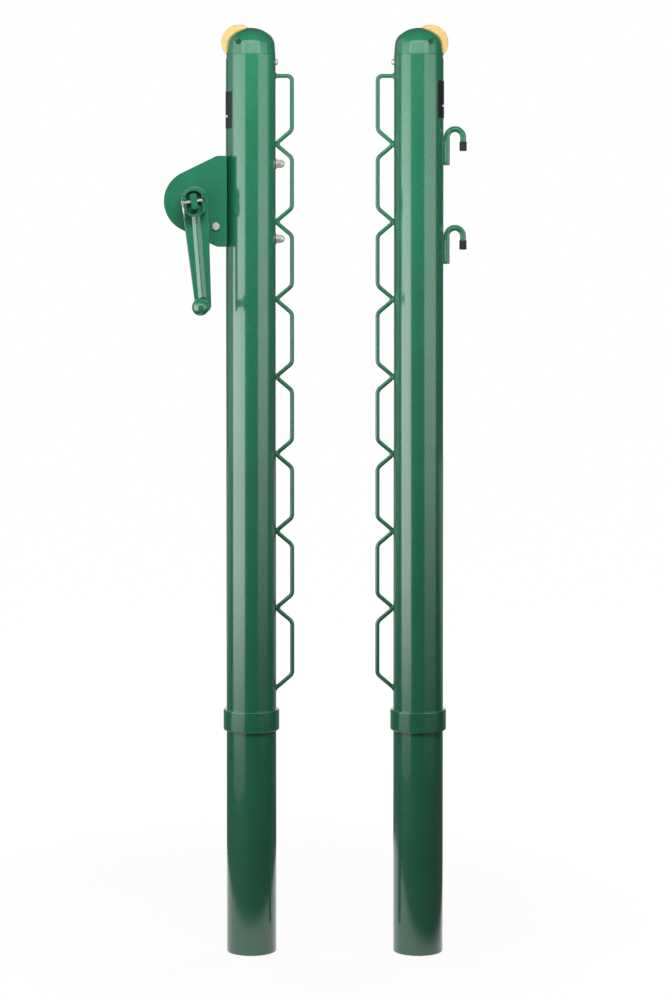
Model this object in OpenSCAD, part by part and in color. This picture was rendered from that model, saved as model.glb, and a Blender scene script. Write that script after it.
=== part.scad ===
// Pair of tennis net posts: a winch post and a hook post, set out side by side.
// X runs from the winch post to the hook post, Z is up, and the crank faces -Y.
// The origin is the middle of the winch post's foot.

/* [Post tube] */
// Outside diameter of both posts
post_d = 76.2; // [70:0.1:90]
// Wall of the post tube
post_wall = 3.2; // [2.6:0.1:4]
// Height of the tube, from its foot to the seam of the cap
post_h = 1376; // [1250:1:1500]
// Distance between the axes of the two posts as they are set out
post_spacing = 256; // [220:1:600]
// Thickness of the plug that closes the foot of the tube
foot_plug_t = 5; // [3:0.5:10]

/* [Ground collar] */
// Length of post below the collar, which stands in the ground sleeve
ground_depth = 343; // [250:1:420]
// Height of the collar
collar_h = 31.8; // [20:0.1:45]
// Wall of the collar
collar_wall = 4.6; // [3:0.1:7]
// Radius of the collar's rounded edges
collar_edge_r = 1.8; // [0.5:0.1:2.2]

/* [Cap] */
// Height of the cap's straight skirt
cap_skirt_h = 13.2; // [8:0.1:18]
// Height of the dome above the skirt
cap_dome_h = 27.6; // [22:0.1:34]
// Inward draft of the skirt
cap_draft = 1; // [0:0.1:2]
// Length of the spigot inside the tube
cap_spigot_l = 22; // [16:0.5:35]
// Wall of the spigot
cap_spigot_wall = 4; // [3:0.1:6]
// Width of the slot that the pulley runs in
cap_slot_w = 22; // [21:0.1:26]
// Drop of the cap screw below the seam
cap_screw_drop = 11.6; // [9:0.1:14]
// Diameter of the cap screw's head
cap_screw_head_d = 9.5; // [8:0.1:11]
// Height of the cap screw's head
cap_screw_head_h = 3.8; // [2:0.1:4.5]
// Thread diameter of the cap screw
cap_screw_d = 5; // [4:0.1:6]

/* [Pulley] */
// Outside diameter of the pulley
pulley_d = 54; // [48:0.5:56]
// Width of the pulley over its rims
pulley_w = 19; // [15:0.1:20]
// Diameter at the bottom of the groove
pulley_groove_d = 38; // [32:0.5:42]
// Width of the groove at the rim
pulley_groove_w = 13; // [8:0.1:14]
// Distance of the pulley's axle from the post's axis, away from the net
pulley_offset = 17.5; // [15:0.1:19]
// Height of the pulley's axle above the seam of the cap
pulley_rise = 17.2; // [15:0.1:19]
// Diameter of the pulley's axle
pulley_axle_d = 8; // [6:0.1:10]
// Depth of the axle's ends below the face of the cap
axle_recess = 2; // [1:0.1:3]
// Depth of the notch in the tube's top edge
tube_notch = 6; // [5:0.1:9]

/* [Lacing rod] */
// Diameter of the lacing rod
rod_d = 6.35; // [5:0.05:8]
// Distance from the tube's surface to the middle of the loops' outer bars
rod_reach = 24.6; // [20:0.1:32]
// Number of loops
loop_count = 8; // [6:1:9]
// Drop of the top bar below the tube's top edge
rod_top_drop = 32.8; // [28:0.1:45]
// Height of the top loop, from its bar to the first weld
top_loop_h = 103.5; // [80:0.1:120]
// Height of the last loop, from its weld to the end of the rod
last_loop_h = 122.9; // [90:0.1:130]
// Gap from the ground collar up to the end of the rod
rod_foot_gap = 31.9; // [15:0.1:60]
// Half height of the straight that lies against the tube
weld_half_h = 3; // [2.5:0.1:5]
// Height from a weld to the corner of the outer bar
corner_rise = 21; // [18:0.1:30]
// Bend radius at the outer corners
outer_bend_r = 11; // [6:0.1:12]
// Bend radius at the welds
inner_bend_r = 5; // [4:0.1:5.3]
// Bend radius at the end of the top bar
top_bend_r = 7; // [5:0.1:10]
// Radius of the weld beads
bead_r = 4.2; // [3.6:0.1:5]
// Least height between a weld and a mounting nut of the winch
nut_weld_gap = 24; // [22:0.5:25.5]

/* [Labels] */
// Width of a label round the tube, as its straight chord
label_w = 52; // [40:0.5:60]
// Height of a label
label_h = 56; // [30:0.5:70]
// Thickness of a label
label_t = 0.4; // [0.3:0.1:1]
// Drop of the winch post's label below the tube's top edge
winch_label_drop = 57; // [50:0.5:70]
// Drop of the hook post's label below the tube's top edge
hook_label_drop = 41; // [38:0.5:50]

/* [Winch housing] */
// Drop of the winch shaft below the tube's top edge
winch_drop = 223.5; // [210:0.5:300]
// Distance of the winch shaft from the tube's surface
winch_reach = 44.9; // [43:0.1:60]
// Thickness of the side plates and the base plate
plate_t = 3.2; // [2.5:0.1:5]
// Width over the outer faces of the side plates
housing_w = 75.4; // [74:0.1:90]
// Radius of the side plates round the shaft
plate_r = 47.5; // [45:0.1:55]
// Half height of the side plates at the post
plate_half_h = 68.8; // [66:0.1:90]
// Radius of the side plates' corners
plate_corner_r = 12; // [4:0.5:14]
// Slope of the side plates' edges, in degrees
plate_slope = 26; // [22:0.5:28]
// Overlap of the side plates past the face of the tube
plate_lap = 2.9; // [0:0.1:4]
// Half distance between the two mounting bolts
mount_half = 57.15; // [50:0.05:60]
// Thread diameter of the mounting bolts
mount_bolt_d = 7.9; // [6:0.1:9]
// Width across flats of the mounting bolts' heads and nuts
mount_hex = 12.7; // [11:0.1:14]
// Height of the mounting bolts' heads
mount_head_h = 5.2; // [4:0.1:6]
// Diameter of the washers
washer_d = 16; // [15:0.1:17]
// Thickness of the washers
washer_t = 1.4; // [1:0.1:2]
// Height of the acorn nuts' hexagon
acorn_hex_h = 6.4; // [5:0.1:7]
// Height of an acorn nut over its dome
acorn_h = 12.2; // [11:0.1:14]

/* [Shaft and drum] */
// Diameter of the winch shaft
shaft_d = 24; // [18:0.1:24]
// Thickness of the shaft's flat-sided tang
tang_t = 10; // [8:0.1:11]
// Wall of the bushes
bush_wall = 3; // [2:0.1:4]
// Thickness of the bushes' flanges
bush_flange_t = 2.5; // [1.5:0.1:3]
// Diameter of the bushes' flanges
bush_flange_d = 36; // [34:0.1:38]
// Depth that the bushes reach in past the side plates
bush_reach = 1.5; // [0.5:0.1:2]
// Running gap at the ends of the drum
drum_end_gap = 1; // [0.5:0.1:1.5]
// Diameter of the drum
drum_d = 40; // [38:0.5:46]
// Thickness of the drum's rear flange
drum_flange_t = 3; // [2:0.1:5]
// Outside diameter of the ratchet wheel
ratchet_d = 76; // [70:0.5:78]
// Depth of the ratchet teeth
tooth_depth = 4; // [3:0.1:4.5]
// Thickness of the ratchet wheel
ratchet_t = 6; // [4:0.1:8]
// Number of ratchet teeth
tooth_count = 24; // [24:12:36]
// Diameter of the pin through the drum and the shaft
drum_pin_d = 6; // [5:0.1:8]
// Diameter of the cable clamp screw's head
clamp_head_d = 10; // [8:0.1:11]
// Height of the cable clamp screw's head
clamp_head_h = 4; // [3:0.1:5]
// Thickness of the clip on the rear end of the shaft
clip_t = 1.6; // [1:0.1:2]

/* [Pawl] */
// Distance of the pawl's bolt to the net side of the shaft
pawl_x = 31.3; // [30.5:0.1:32]
// Depth of the pawl's bolt below the shaft
pawl_drop = 37.8; // [37:0.1:40]
// Thread diameter of the pawl bolt
pawl_bolt_d = 6.3; // [5:0.1:7]
// Width across flats of the pawl bolt's head and nut
pawl_hex = 11.1; // [9:0.1:12]
// Height of the pawl bolt's head and nut
pawl_head_h = 4; // [3:0.1:4.6]
// Radius of the pawl's eye
pawl_eye_r = 8; // [7:0.1:8.5]
// Outside diameter of the spacer that holds the pawl in place
spacer_d = 10; // [9:0.1:11]
// Wire diameter of the pawl spring
spring_wire_d = 1.2; // [0.8:0.1:1.4]
// Number of turns of the pawl spring
spring_turns = 5; // [3:1:7]

/* [Crank] */
// Distance from the winch shaft to the grip
crank_l = 157; // [140:1:180]
// Angle of the hanging crank from the vertical, in degrees
crank_angle = 4.5; // [0:0.5:10]
// Height of the hub's centre above the shaft
hub_rise = 2; // [0:0.1:3]
// Angle of the tang from the vertical, in degrees
tang_angle = 8.5; // [4:0.5:12]
// Radius of the arm round the shaft
hub_r = 20.3; // [19.5:0.1:24]
// Radius of the arm's end round the grip
arm_end_r = 12.2; // [11.2:0.1:15]
// Thickness of the arm
arm_t = 8; // [6:0.1:10]
// Width of the rib along the arm, at its root
rib_w = 12.4; // [8:0.1:14]
// Width of the rib's crest
rib_crest_w = 1.6; // [1:0.1:6]
// Height of the rib
rib_h = 5; // [3:0.1:6]
// Reach of the hub behind the arm
hub_back = 5; // [3:0.1:7]
// Half width of the boss on the hub
boss_half_w = 15.2; // [14.5:0.1:16]
// Radius of the boss's arched top
boss_top_r = 17; // [16.5:0.1:18]
// Height of the boss in front of the arm
boss_h = 20; // [18:0.1:24]
// Depth of the pocket in the boss
pocket_depth = 12; // [10:0.1:14]
// Wall of the boss beside the pocket
pocket_wall = 3.2; // [2.5:0.1:5]
// Reach of the tang in front of the pocket's floor
tang_reach = 14; // [10:0.1:16]
// Diameter of the lock pin
lock_pin_d = 4.8; // [4:0.1:5]
// Depth of the lock pin below the boss's face
lock_pin_depth = 5; // [4:0.1:6]
// Outside diameter of the pull ring
ring_d = 24; // [22:0.1:30]
// Wire diameter of the pull ring
ring_wire_d = 2; // [1.5:0.1:2.2]

/* [Grip] */
// Length of the grip in front of the arm
grip_l = 100; // [80:0.5:120]
// Diameter of the ball at the end of the grip
grip_ball_d = 25.4; // [24:0.1:32]
// Diameter of the flange at the foot of the grip
grip_flange_d = 17; // [16:0.1:20]
// Diameter of the grip's stem at the flange
grip_stem_d = 13; // [12:0.1:15]
// Diameter of the stud that the grip turns on
grip_stud_d = 8; // [6:0.1:8.5]

/* [Cable hooks] */
// Rod diameter of the cable hooks
hook_d = 9; // [8:0.1:10]
// Bend radius of the cable hooks, to the middle of the rod
hook_bend_r = 12.4; // [11:0.1:18]
// Drop of the upper hook's bend below the tube's top edge
upper_hook_drop = 126; // [120:0.5:140]
// Distance between the bends of the two hooks
hook_pitch = 150.2; // [100:0.5:180]
// Length of the hooks' shanks
hook_shank_l = 42.7; // [36:0.1:55]
// Length of the hooks' free legs, with their tips
hook_leg_l = 20.9; // [18:0.1:26]
// Outside diameter of the rubber tips
tip_d = 11.4; // [11:0.1:13]
// Length of the rubber tips
tip_l = 14.3; // [12:0.1:16]
// Thickness of the rubber tips' ends
tip_end_t = 2.5; // [2:0.1:4]

/* [Fits] */
// Gap between pieces that are pressed, bolted or welded together
fit_gap = 0.05; // [0.02:0.01:0.1]
// Radial running clearance of shafts, axles and pins
run_gap = 0.06; // [0.02:0.01:0.1]
// Gap between moving pieces that pass each other
pass_gap = 0.5; // [0.3:0.05:0.6]

/* [Hidden] */

// Extra reach of a cut past the face that it opens
over = 1;
post_r = post_d / 2;
bore_r = post_r - post_wall;
green = [0.09, 0.42, 0.29];
bright = [0.80, 0.80, 0.78];
brass = [0.93, 0.80, 0.50];
black = [0.05, 0.05, 0.05];

// Collar relief: the tube is turned down a little inside the collar, to seat it
relief_depth = 0.5;
relief_lip = 2;

// Cap and pulley
cap_r = post_r - cap_draft;
cap_top = post_h + cap_skirt_h + cap_dome_h;
pulley_r = pulley_d / 2;
groove_r = pulley_groove_d / 2;
axle_r = pulley_axle_d / 2;
pulley_z = post_h + pulley_rise;
slot_rim_gap = 2;
slot_floor_drop = 6.5;
slot_floor_z = pulley_z + groove_r - slot_floor_drop;
// Radius of the cap's outside at a height above the seam
function cap_r_at(h) = h <= cap_skirt_h
    ? post_r - cap_draft * h / cap_skirt_h
    : cap_r * sqrt(1 - pow((h - cap_skirt_h) / cap_dome_h, 2));
axle_half = sqrt(pow(cap_r_at(pulley_rise + axle_r), 2) - pow(pulley_offset, 2)) - axle_recess;
groove_floor_half = 3;
pulley_hub_r = 9;
pulley_hub_w = cap_slot_w - 2 * pass_gap;

// Lacing rod
rod_r = rod_d / 2;
rod_x = post_r + rod_reach;
rod_weld_x = post_r + rod_r + fit_gap;
rod_top_z = post_h - rod_top_drop;
rod_end_z = ground_depth + collar_h + rod_foot_gap;
loop_pitch = (rod_top_z - rod_end_z - top_loop_h - last_loop_h) / (loop_count - 2);
function even_weld_z(i) = rod_top_z - top_loop_h - i * loop_pitch;

// Winch: the shaft's axis, and the depths of the pieces along it
winch_x = -(post_r + winch_reach);
winch_z = post_h - winch_drop;
plate_out = housing_w / 2;
plate_in = plate_out - plate_t;
base_x = winch_reach - fit_gap;
plate_edge_x = winch_reach + plate_lap;
shaft_r = shaft_d / 2;
bush_bore_r = shaft_r + run_gap;
bush_r = bush_bore_r + bush_wall;
bush_face = plate_out + bush_flange_t;
clip_y = bush_face + pass_gap;
clip_groove_r = shaft_r - 1.5;
clip_r = shaft_r + 3;
shaft_end_y = clip_y + clip_t + 2;
ratchet_y = -(plate_in - bush_reach - drum_end_gap);
drum_back_y = plate_in - bush_reach - drum_end_gap;
ratchet_r = ratchet_d / 2;
tooth_root_r = ratchet_r - tooth_depth;
tooth_step = 360 / tooth_count;
drum_r = drum_d / 2;
drum_len = drum_back_y - drum_flange_t - (ratchet_y + ratchet_t);
drum_mid_y = ratchet_y + ratchet_t + drum_len / 2;
drum_pin_r = drum_pin_d / 2;
drum_pin_y = drum_mid_y + drum_len / 4;
drum_pin_half = drum_r - 1;
clamp_screw_r = 3;
clamp_screw_y = drum_mid_y - drum_len / 8;
clamp_angle = 125;
bolt_r = mount_bolt_d / 2;
bolt_hole_r = bolt_r + 0.25;

// Welds of the lacing rod, moved where one would lie under a mounting nut
nut_heights = [winch_z + mount_half, winch_z - mount_half];
function weld_z(i) = let (z = even_weld_z(i), near = [for (n = nut_heights) if (abs(z - n) < nut_weld_gap) n])
    len(near) == 0 ? z : near[0] + (z < near[0] ? -1 : 1) * nut_weld_gap;

// Pawl
tip_angle = -95;
pawl_bolt_r = pawl_bolt_d / 2;
pawl_y = ratchet_y;
pawl_t = ratchet_t;
pawl_tip_r = ratchet_r + 6;
tab_l = 18;
tab_t = 4;
spacer_r = spacer_d / 2;
spacer_y = pawl_y + pawl_t + pass_gap;
spring_r = spacer_r + pass_gap + spring_wire_d;
spring_pitch = spring_wire_d + 0.8;
spring_y = spacer_y + 2;
spring_leg = 20;

// Crank
hub_y = -(bush_face + pass_gap);
arm_y = hub_y - hub_back;
arm_front_y = arm_y - arm_t;
boss_face_y = arm_front_y - boss_h;
pocket_floor_y = boss_face_y + pocket_depth;
tang_gap = 0.3;
tang_front_y = pocket_floor_y - tang_reach;
tang_back_y = hub_y + 0.2;
lock_pin_r = lock_pin_d / 2;
lock_pin_y = boss_face_y + lock_pin_depth;
lock_pin_notch_r = lock_pin_r + 0.4;
lock_pin_end = boss_half_w - 2.5;
pin_head_r = 3.1;
pin_head_l = 4.1;
pin_head_x = boss_half_w + pass_gap + pin_head_l / 2;
ring_wire_r = ring_wire_d / 2;
ring_mid_r = ring_d / 2 - ring_wire_r;
ring_hole_r = ring_wire_r + 0.5;
boss_foot = 23;
boss_corner_z = -16;
rib_start = boss_foot - 2;
stud_r = grip_stud_d / 2;
stud_head_r = stud_r + 4;
stud_head_t = 3;
grip_y = arm_front_y - pass_gap;
grip_ball_r = grip_ball_d / 2;
grip_ball_at = grip_l - grip_ball_r;
grip_flange_t = 4;
grip_neck_r = grip_stem_d / 2;
grip_waist_r = grip_neck_r - 0.5;
stud_end = grip_ball_at - 12;

// Hooks
hook_r = hook_d / 2;
hook_x = post_r + hook_r + fit_gap;
upper_hook_z = post_h - upper_hook_drop;
lower_hook_z = upper_hook_z - hook_pitch;
tip_bore_r = hook_r + fit_gap;
tip_r = tip_d / 2;
rib_count = 4;

// Point at a radius and an angle
function pol(r, a) = [r * cos(a), r * sin(a)];
function unit(v) = v / norm(v);
// Points along an arc, at steps of about 3 degrees
function arc(c, r, a0, a1) = let (n = ceil(abs(a1 - a0) / 3))
    [for (i = [0:n]) c + pol(r, a0 + (a1 - a0) * i / n)];

// Stands a flat drawing upright: its x stays x, its y becomes Z, and it grows forward from y_back
module stand(y_back) {
    translate([0, y_back, 0])
        rotate([90, 0, 0])
            children();
}

// Moves to the winch shaft
module at_winch() {
    translate([winch_x, 0, winch_z])
        children();
}

// Moves to the hook post, which is the winch post mirrored
module at_hook_post() {
    translate([post_spacing, 0, 0])
        mirror([1, 0, 0])
            children();
}

// Points of a bent rod: straight between its corners, with a round bend at each inner corner
bend_step = 12.5;
function bent_path(pts, bends) = concat(
    [pts[0]],
    [for (i = [1:len(pts) - 2]) each
        let (
            u = unit(pts[i] - pts[i - 1]),
            v = unit(pts[i + 1] - pts[i]),
            turn = atan2(u[0] * v[1] - u[1] * v[0], u * v),
            normal = [-u[1], u[0]] * sign(turn),
            centre = pts[i] - u * bends[i - 1] * tan(abs(turn) / 2) + normal * bends[i - 1],
            first = atan2(-normal[1], -normal[0]),
            steps = ceil(abs(turn) / bend_step))
        [for (k = [0:steps]) centre + pol(bends[i - 1], first + turn * k / steps)]],
    [pts[len(pts) - 1]]);

// Round rod of twelve sides along a path in the XZ plane, with both ends cut square to X
module swept_rod(path, r) {
    sides = 12;
    last = len(path) - 1;
    rings = [for (i = [0:last])
        let (
            ahead = unit(path[min(i + 1, last)] - path[min(i, last - 1)]),
            behind = unit(path[max(i, 1)] - path[max(i - 1, 0)]),
            t = unit(ahead + behind),
            u = i == 0 || i == last ? [0, 1 / t[0]] : [-t[1], t[0]])
        for (k = [0:sides - 1])
            let (a = (k + 0.5) * 360 / sides)
            [path[i][0] + r * cos(a) * u[0], r * sin(a), path[i][1] + r * cos(a) * u[1]]];
    sleeves = [for (i = [0:last - 1], k = [0:sides - 1])
        let (a = i * sides + k, b = i * sides + (k + 1) % sides)
        each [[a, b, b + sides], [a, b + sides, a + sides]]];
    ends = [for (k = [1:sides - 2]) each [
        [0, k + 1, k],
        [last * sides, last * sides + k, last * sides + k + 1]]];
    polyhedron(points = rings, faces = concat(sleeves, ends));
}

// Hexagon across its flats, flat side up
module hexagon(flats) {
    rotate(30)
        circle(d = flats / cos(30), $fn = 6);
}

module post_tube() {
    difference() {
        cylinder(h = post_h, r = post_r, $fn = 96);
        translate([0, 0, -over])
            cylinder(h = post_h + 2 * over, r = bore_r, $fn = 96);
        // Seat of the ground collar
        translate([0, 0, ground_depth])
            difference() {
                cylinder(h = collar_h - relief_lip, r = post_r + over, $fn = 96);
                cylinder(h = collar_h - relief_lip, r = post_r - relief_depth, $fn = 96);
            }
        // Notch for the pulley
        translate([-post_r - over, -cap_slot_w / 2, post_h - tube_notch])
            cube([post_r, cap_slot_w, tube_notch + over]);
        // Hole of the cap screw
        translate([0, 0, post_h - cap_screw_drop])
            rotate([0, 90, 0])
                cylinder(h = post_r + over, r = cap_screw_d / 2 + fit_gap, $fn = 24);
    }
}

module winch_post_tube() {
    color(green)
        difference() {
            post_tube();
            for (side = [-1, 1])
                translate([-post_r - over, 0, winch_z + side * mount_half])
                    rotate([0, 90, 0])
                        cylinder(h = post_d + 2 * over, r = bolt_hole_r, $fn = 32);
        }
}

module foot_plug() {
    color(green)
        cylinder(h = foot_plug_t, r = bore_r - fit_gap, $fn = 96);
}

module ground_collar() {
    inner = post_r + fit_gap;
    outer = inner + collar_wall;
    color(green)
        translate([0, 0, ground_depth])
            rotate_extrude($fn = 96)
                polygon(concat(
                    [[inner, 0]],
                    arc([outer - collar_edge_r, collar_edge_r], collar_edge_r, -90, 0),
                    arc([outer - collar_edge_r, collar_h - collar_edge_r], collar_edge_r, 0, 90),
                    [[inner, collar_h]]));
}

module post_cap() {
    spigot_r = bore_r - fit_gap;
    crown = [for (a = [0:6:84]) [cap_r * cos(a), cap_skirt_h + cap_dome_h * sin(a)]];
    color(green)
        difference() {
            union() {
                translate([0, 0, post_h])
                    rotate_extrude($fn = 96)
                        polygon(concat([[0, 0], [post_r, 0]], crown, [[0, cap_skirt_h + cap_dome_h]]));
                translate([0, 0, post_h - cap_spigot_l])
                    cylinder(h = cap_spigot_l + over, r = spigot_r, $fn = 96);
            }
            translate([0, 0, post_h - cap_spigot_l - over])
                cylinder(h = cap_spigot_l + over, r = spigot_r - cap_spigot_wall, $fn = 96);
            // Slot for the pulley, open away from the net
            translate([-post_r - over, -cap_slot_w / 2, post_h - cap_spigot_l - over])
                cube([post_r + over - pulley_offset + pulley_r + slot_rim_gap, cap_slot_w,
                      cap_top - post_h + cap_spigot_l + 2 * over]);
            // Way of the cable towards the net
            translate([0, -cap_slot_w / 2, slot_floor_z])
                cube([post_r + over, cap_slot_w, cap_top - slot_floor_z + over]);
            // Bore of the pulley's axle
            translate([-pulley_offset, 0, pulley_z])
                rotate([90, 0, 0])
                    cylinder(h = post_d + 2 * over, r = axle_r + fit_gap, center = true, $fn = 32);
            // Thread of the cap screw
            translate([0, 0, post_h - cap_screw_drop])
                rotate([0, 90, 0])
                    cylinder(h = post_r, r = cap_screw_d / 2 + fit_gap, $fn = 24);
        }
}

module cap_screw() {
    shank_l = post_wall + cap_spigot_wall + 1;
    slot_t = 1.2;
    color(bright)
        translate([post_r + fit_gap, 0, post_h - cap_screw_drop])
            rotate([0, 90, 0])
                difference() {
                    rotate_extrude($fn = 32)
                        polygon(concat(
                            [[0, -shank_l], [cap_screw_d / 2, -shank_l], [cap_screw_d / 2, 0],
                             [cap_screw_head_d / 2, 0]],
                            [for (a = [15:15:75]) [cap_screw_head_d / 2 * cos(a / 1.3),
                                                   cap_screw_head_h * sin(a)]],
                            [[0, cap_screw_head_h]]));
                    for (a = [0, 90])
                        rotate(a)
                            translate([-slot_t * 2, -slot_t / 2, cap_screw_head_h - slot_t])
                                cube([slot_t * 4, slot_t, slot_t * 2]);
                }
}

module pulley() {
    half = pulley_w / 2;
    groove_half = pulley_groove_w / 2;
    rim_edge = 1;
    color(brass)
        translate([-pulley_offset, 0, pulley_z])
            rotate([90, 0, 0])
                rotate_extrude($fn = 96)
                    polygon([
                        [axle_r + run_gap, -pulley_hub_w / 2],
                        [pulley_hub_r, -pulley_hub_w / 2],
                        [pulley_hub_r, -half],
                        [pulley_r - rim_edge, -half],
                        [pulley_r, -half + rim_edge],
                        [pulley_r, -groove_half],
                        [groove_r, -groove_floor_half],
                        [groove_r, groove_floor_half],
                        [pulley_r, groove_half],
                        [pulley_r, half - rim_edge],
                        [pulley_r - rim_edge, half],
                        [pulley_hub_r, half],
                        [pulley_hub_r, pulley_hub_w / 2],
                        [axle_r + run_gap, pulley_hub_w / 2]]);
}

module pulley_axle() {
    color(bright)
        translate([-pulley_offset, 0, pulley_z])
            rotate([90, 0, 0])
                cylinder(h = 2 * axle_half, r = axle_r, center = true, $fn = 32);
}

module lacing_rod() {
    corners = [for (i = [0:loop_count - 2]) let (z = weld_z(i)) each [
        [rod_x, z + corner_rise], [rod_weld_x, z + weld_half_h],
        [rod_weld_x, z - weld_half_h], [rod_x, z - corner_rise]]];
    pts = concat(
        [[post_r + fit_gap, rod_top_z], [rod_x, rod_top_z]],
        corners,
        [[rod_x, rod_end_z + corner_rise], [post_r + fit_gap, rod_end_z]]);
    bends = concat(
        [top_bend_r],
        [for (i = [0:loop_count - 2]) each [outer_bend_r, inner_bend_r, inner_bend_r, outer_bend_r]],
        [outer_bend_r]);
    color(green)
        swept_rod(bent_path(pts, bends), rod_r);
}

// Fillets of weld down both sides of the rod where it lies against the tube, and round its top end
module weld_beads() {
    bead_x = post_r + 0.5;
    crest_x = rod_weld_x - 0.5;
    ring_l = 1.5;
    ring_r = rod_r + 1.4;
    color(green) {
        for (i = [0:loop_count - 2])
            translate([0, 0, weld_z(i) - weld_half_h])
                difference() {
                    translate([bead_x, 0, 0])
                        cylinder(h = 2 * weld_half_h, r = bead_r, $fn = 128);
                    translate([rod_weld_x, 0, -over])
                        cylinder(h = 2 * (weld_half_h + over), r = rod_r + fit_gap, $fn = 128);
                    translate([crest_x, -post_r, -over])
                        cube([post_r, post_d, 2 * (weld_half_h + over)]);
                    translate([0, 0, -over])
                        cylinder(h = 2 * (weld_half_h + over), r = post_r + fit_gap, $fn = 480);
                }
        translate([post_r + fit_gap, 0, rod_top_z])
            rotate([0, 90, 0])
                difference() {
                    cylinder(h = ring_l, r = ring_r, $fn = 128);
                    translate([0, 0, -over])
                        cylinder(h = ring_l + 2 * over, r = rod_r + fit_gap, $fn = 128);
                }
    }
}

module label(drop) {
    inner = post_r + fit_gap;
    corner = 2;
    color(black)
        translate([0, 0, post_h - drop - label_h / 2])
            intersection() {
                difference() {
                    cylinder(h = label_h, r = inner + label_t, center = true, $fn = 96);
                    cylinder(h = label_h + over, r = inner, center = true, $fn = 96);
                }
                rotate([90, 0, -90])
                    linear_extrude(height = post_d)
                        polygon(concat(
                            arc([label_w, label_h] / 2 - [corner, corner], corner, 0, 90),
                            arc([-label_w / 2 + corner, label_h / 2 - corner], corner, 90, 180),
                            arc([corner - label_w / 2, corner - label_h / 2], corner, 180, 270),
                            arc([label_w / 2 - corner, corner - label_h / 2], corner, 270, 360)));
            }
}

// Outline of a side plate: round at the shaft, with two sloping edges to the post
module plate_outline() {
    a = 90 + plate_slope;
    tangent = pol(plate_r, a);
    rise = plate_half_h - tangent[1];
    corner_x = tangent[0] + rise / tan(plate_slope) + plate_corner_r * tan(plate_slope / 2);
    corner = [corner_x, plate_half_h - plate_corner_r];
    polygon(concat(
        [[plate_edge_x, -plate_half_h], [plate_edge_x, plate_half_h]],
        arc(corner, plate_corner_r, 90, a),
        arc([0, 0], plate_r, a, 360 - a),
        arc([corner[0], -corner[1]], plate_corner_r, 360 - a, 270)));
}

module side_plate(y_back) {
    color(green)
        at_winch()
            difference() {
                stand(y_back)
                    linear_extrude(height = plate_t)
                        plate_outline();
                stand(y_back + over)
                    cylinder(h = plate_t + 2 * over, r = bush_r + fit_gap, $fn = 64);
                translate([pawl_x, 0, -pawl_drop])
                    stand(y_back + over)
                        cylinder(h = plate_t + 2 * over, r = pawl_bolt_r + fit_gap, $fn = 32);
            }
}

module winch_base_plate() {
    color(green)
        at_winch()
            difference() {
                translate([base_x - plate_t, -plate_in, -plate_half_h])
                    cube([plate_t, 2 * plate_in, 2 * plate_half_h]);
                for (side = [-1, 1])
                    translate([base_x - plate_t - over, 0, side * mount_half])
                        rotate([0, 90, 0])
                            cylinder(h = plate_t + 2 * over, r = bolt_hole_r, $fn = 32);
            }
}

// Distance from the shaft to the inner face of the base plate
base_inner_x = base_x - plate_t;
// Distance from the shaft to the outer face of the washers on the net side
nut_seat_x = winch_reach + post_d + fit_gap + washer_t;

module winch_mounting_bolts() {
    bolt_end = nut_seat_x + acorn_hex_h;
    color(bright)
        at_winch()
            for (side = [-1, 1])
                translate([0, 0, side * mount_half])
                    rotate([0, 90, 0]) {
                        translate([0, 0, base_inner_x - washer_t - mount_head_h])
                            linear_extrude(height = mount_head_h)
                                hexagon(mount_hex);
                        translate([0, 0, base_inner_x - washer_t - mount_head_h])
                            cylinder(h = bolt_end - base_inner_x + washer_t + mount_head_h,
                                     r = bolt_r, $fn = 32);
                    }
}

module winch_washers() {
    color(bright)
        at_winch()
            for (side = [-1, 1], x = [base_inner_x - washer_t, nut_seat_x - washer_t])
                translate([x, 0, side * mount_half])
                    rotate([0, 90, 0])
                        difference() {
                            cylinder(h = washer_t, d = washer_d, $fn = 48);
                            translate([0, 0, -over])
                                cylinder(h = washer_t + 2 * over, r = bolt_r + fit_gap, $fn = 32);
                        }
}

module winch_acorn_nuts() {
    dome_r = mount_hex / 2 - 0.3;
    dome_h = acorn_h - acorn_hex_h;
    bore_depth = acorn_hex_h + fit_gap;
    color(bright)
        at_winch()
            for (side = [-1, 1])
                translate([nut_seat_x, 0, side * mount_half])
                    rotate([0, 90, 0])
                        difference() {
                            union() {
                                linear_extrude(height = acorn_hex_h)
                                    hexagon(mount_hex);
                                rotate_extrude($fn = 48)
                                    polygon(concat(
                                        [[0, acorn_hex_h - over], [dome_r, acorn_hex_h - over]],
                                        [for (a = [0:10:80]) [dome_r * cos(a),
                                                              acorn_hex_h + dome_h * sin(a)]],
                                        [[0, acorn_h]]));
                            }
                            translate([0, 0, -over])
                                cylinder(h = bore_depth + over, r = bolt_r + fit_gap, $fn = 32);
                        }
}

// Flanged bush, with its flange against the outer face of a side plate at the front
module bush() {
    color(brass)
        at_winch()
            stand(-(plate_in - bush_reach))
                rotate_extrude($fn = 64)
                    polygon([
                        [bush_bore_r, 0],
                        [bush_r, 0],
                        [bush_r, bush_reach + plate_t + fit_gap],
                        [bush_flange_d / 2, bush_reach + plate_t + fit_gap],
                        [bush_flange_d / 2, bush_reach + plate_t + bush_flange_t],
                        [bush_bore_r, bush_reach + plate_t + bush_flange_t]]);
}

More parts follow.
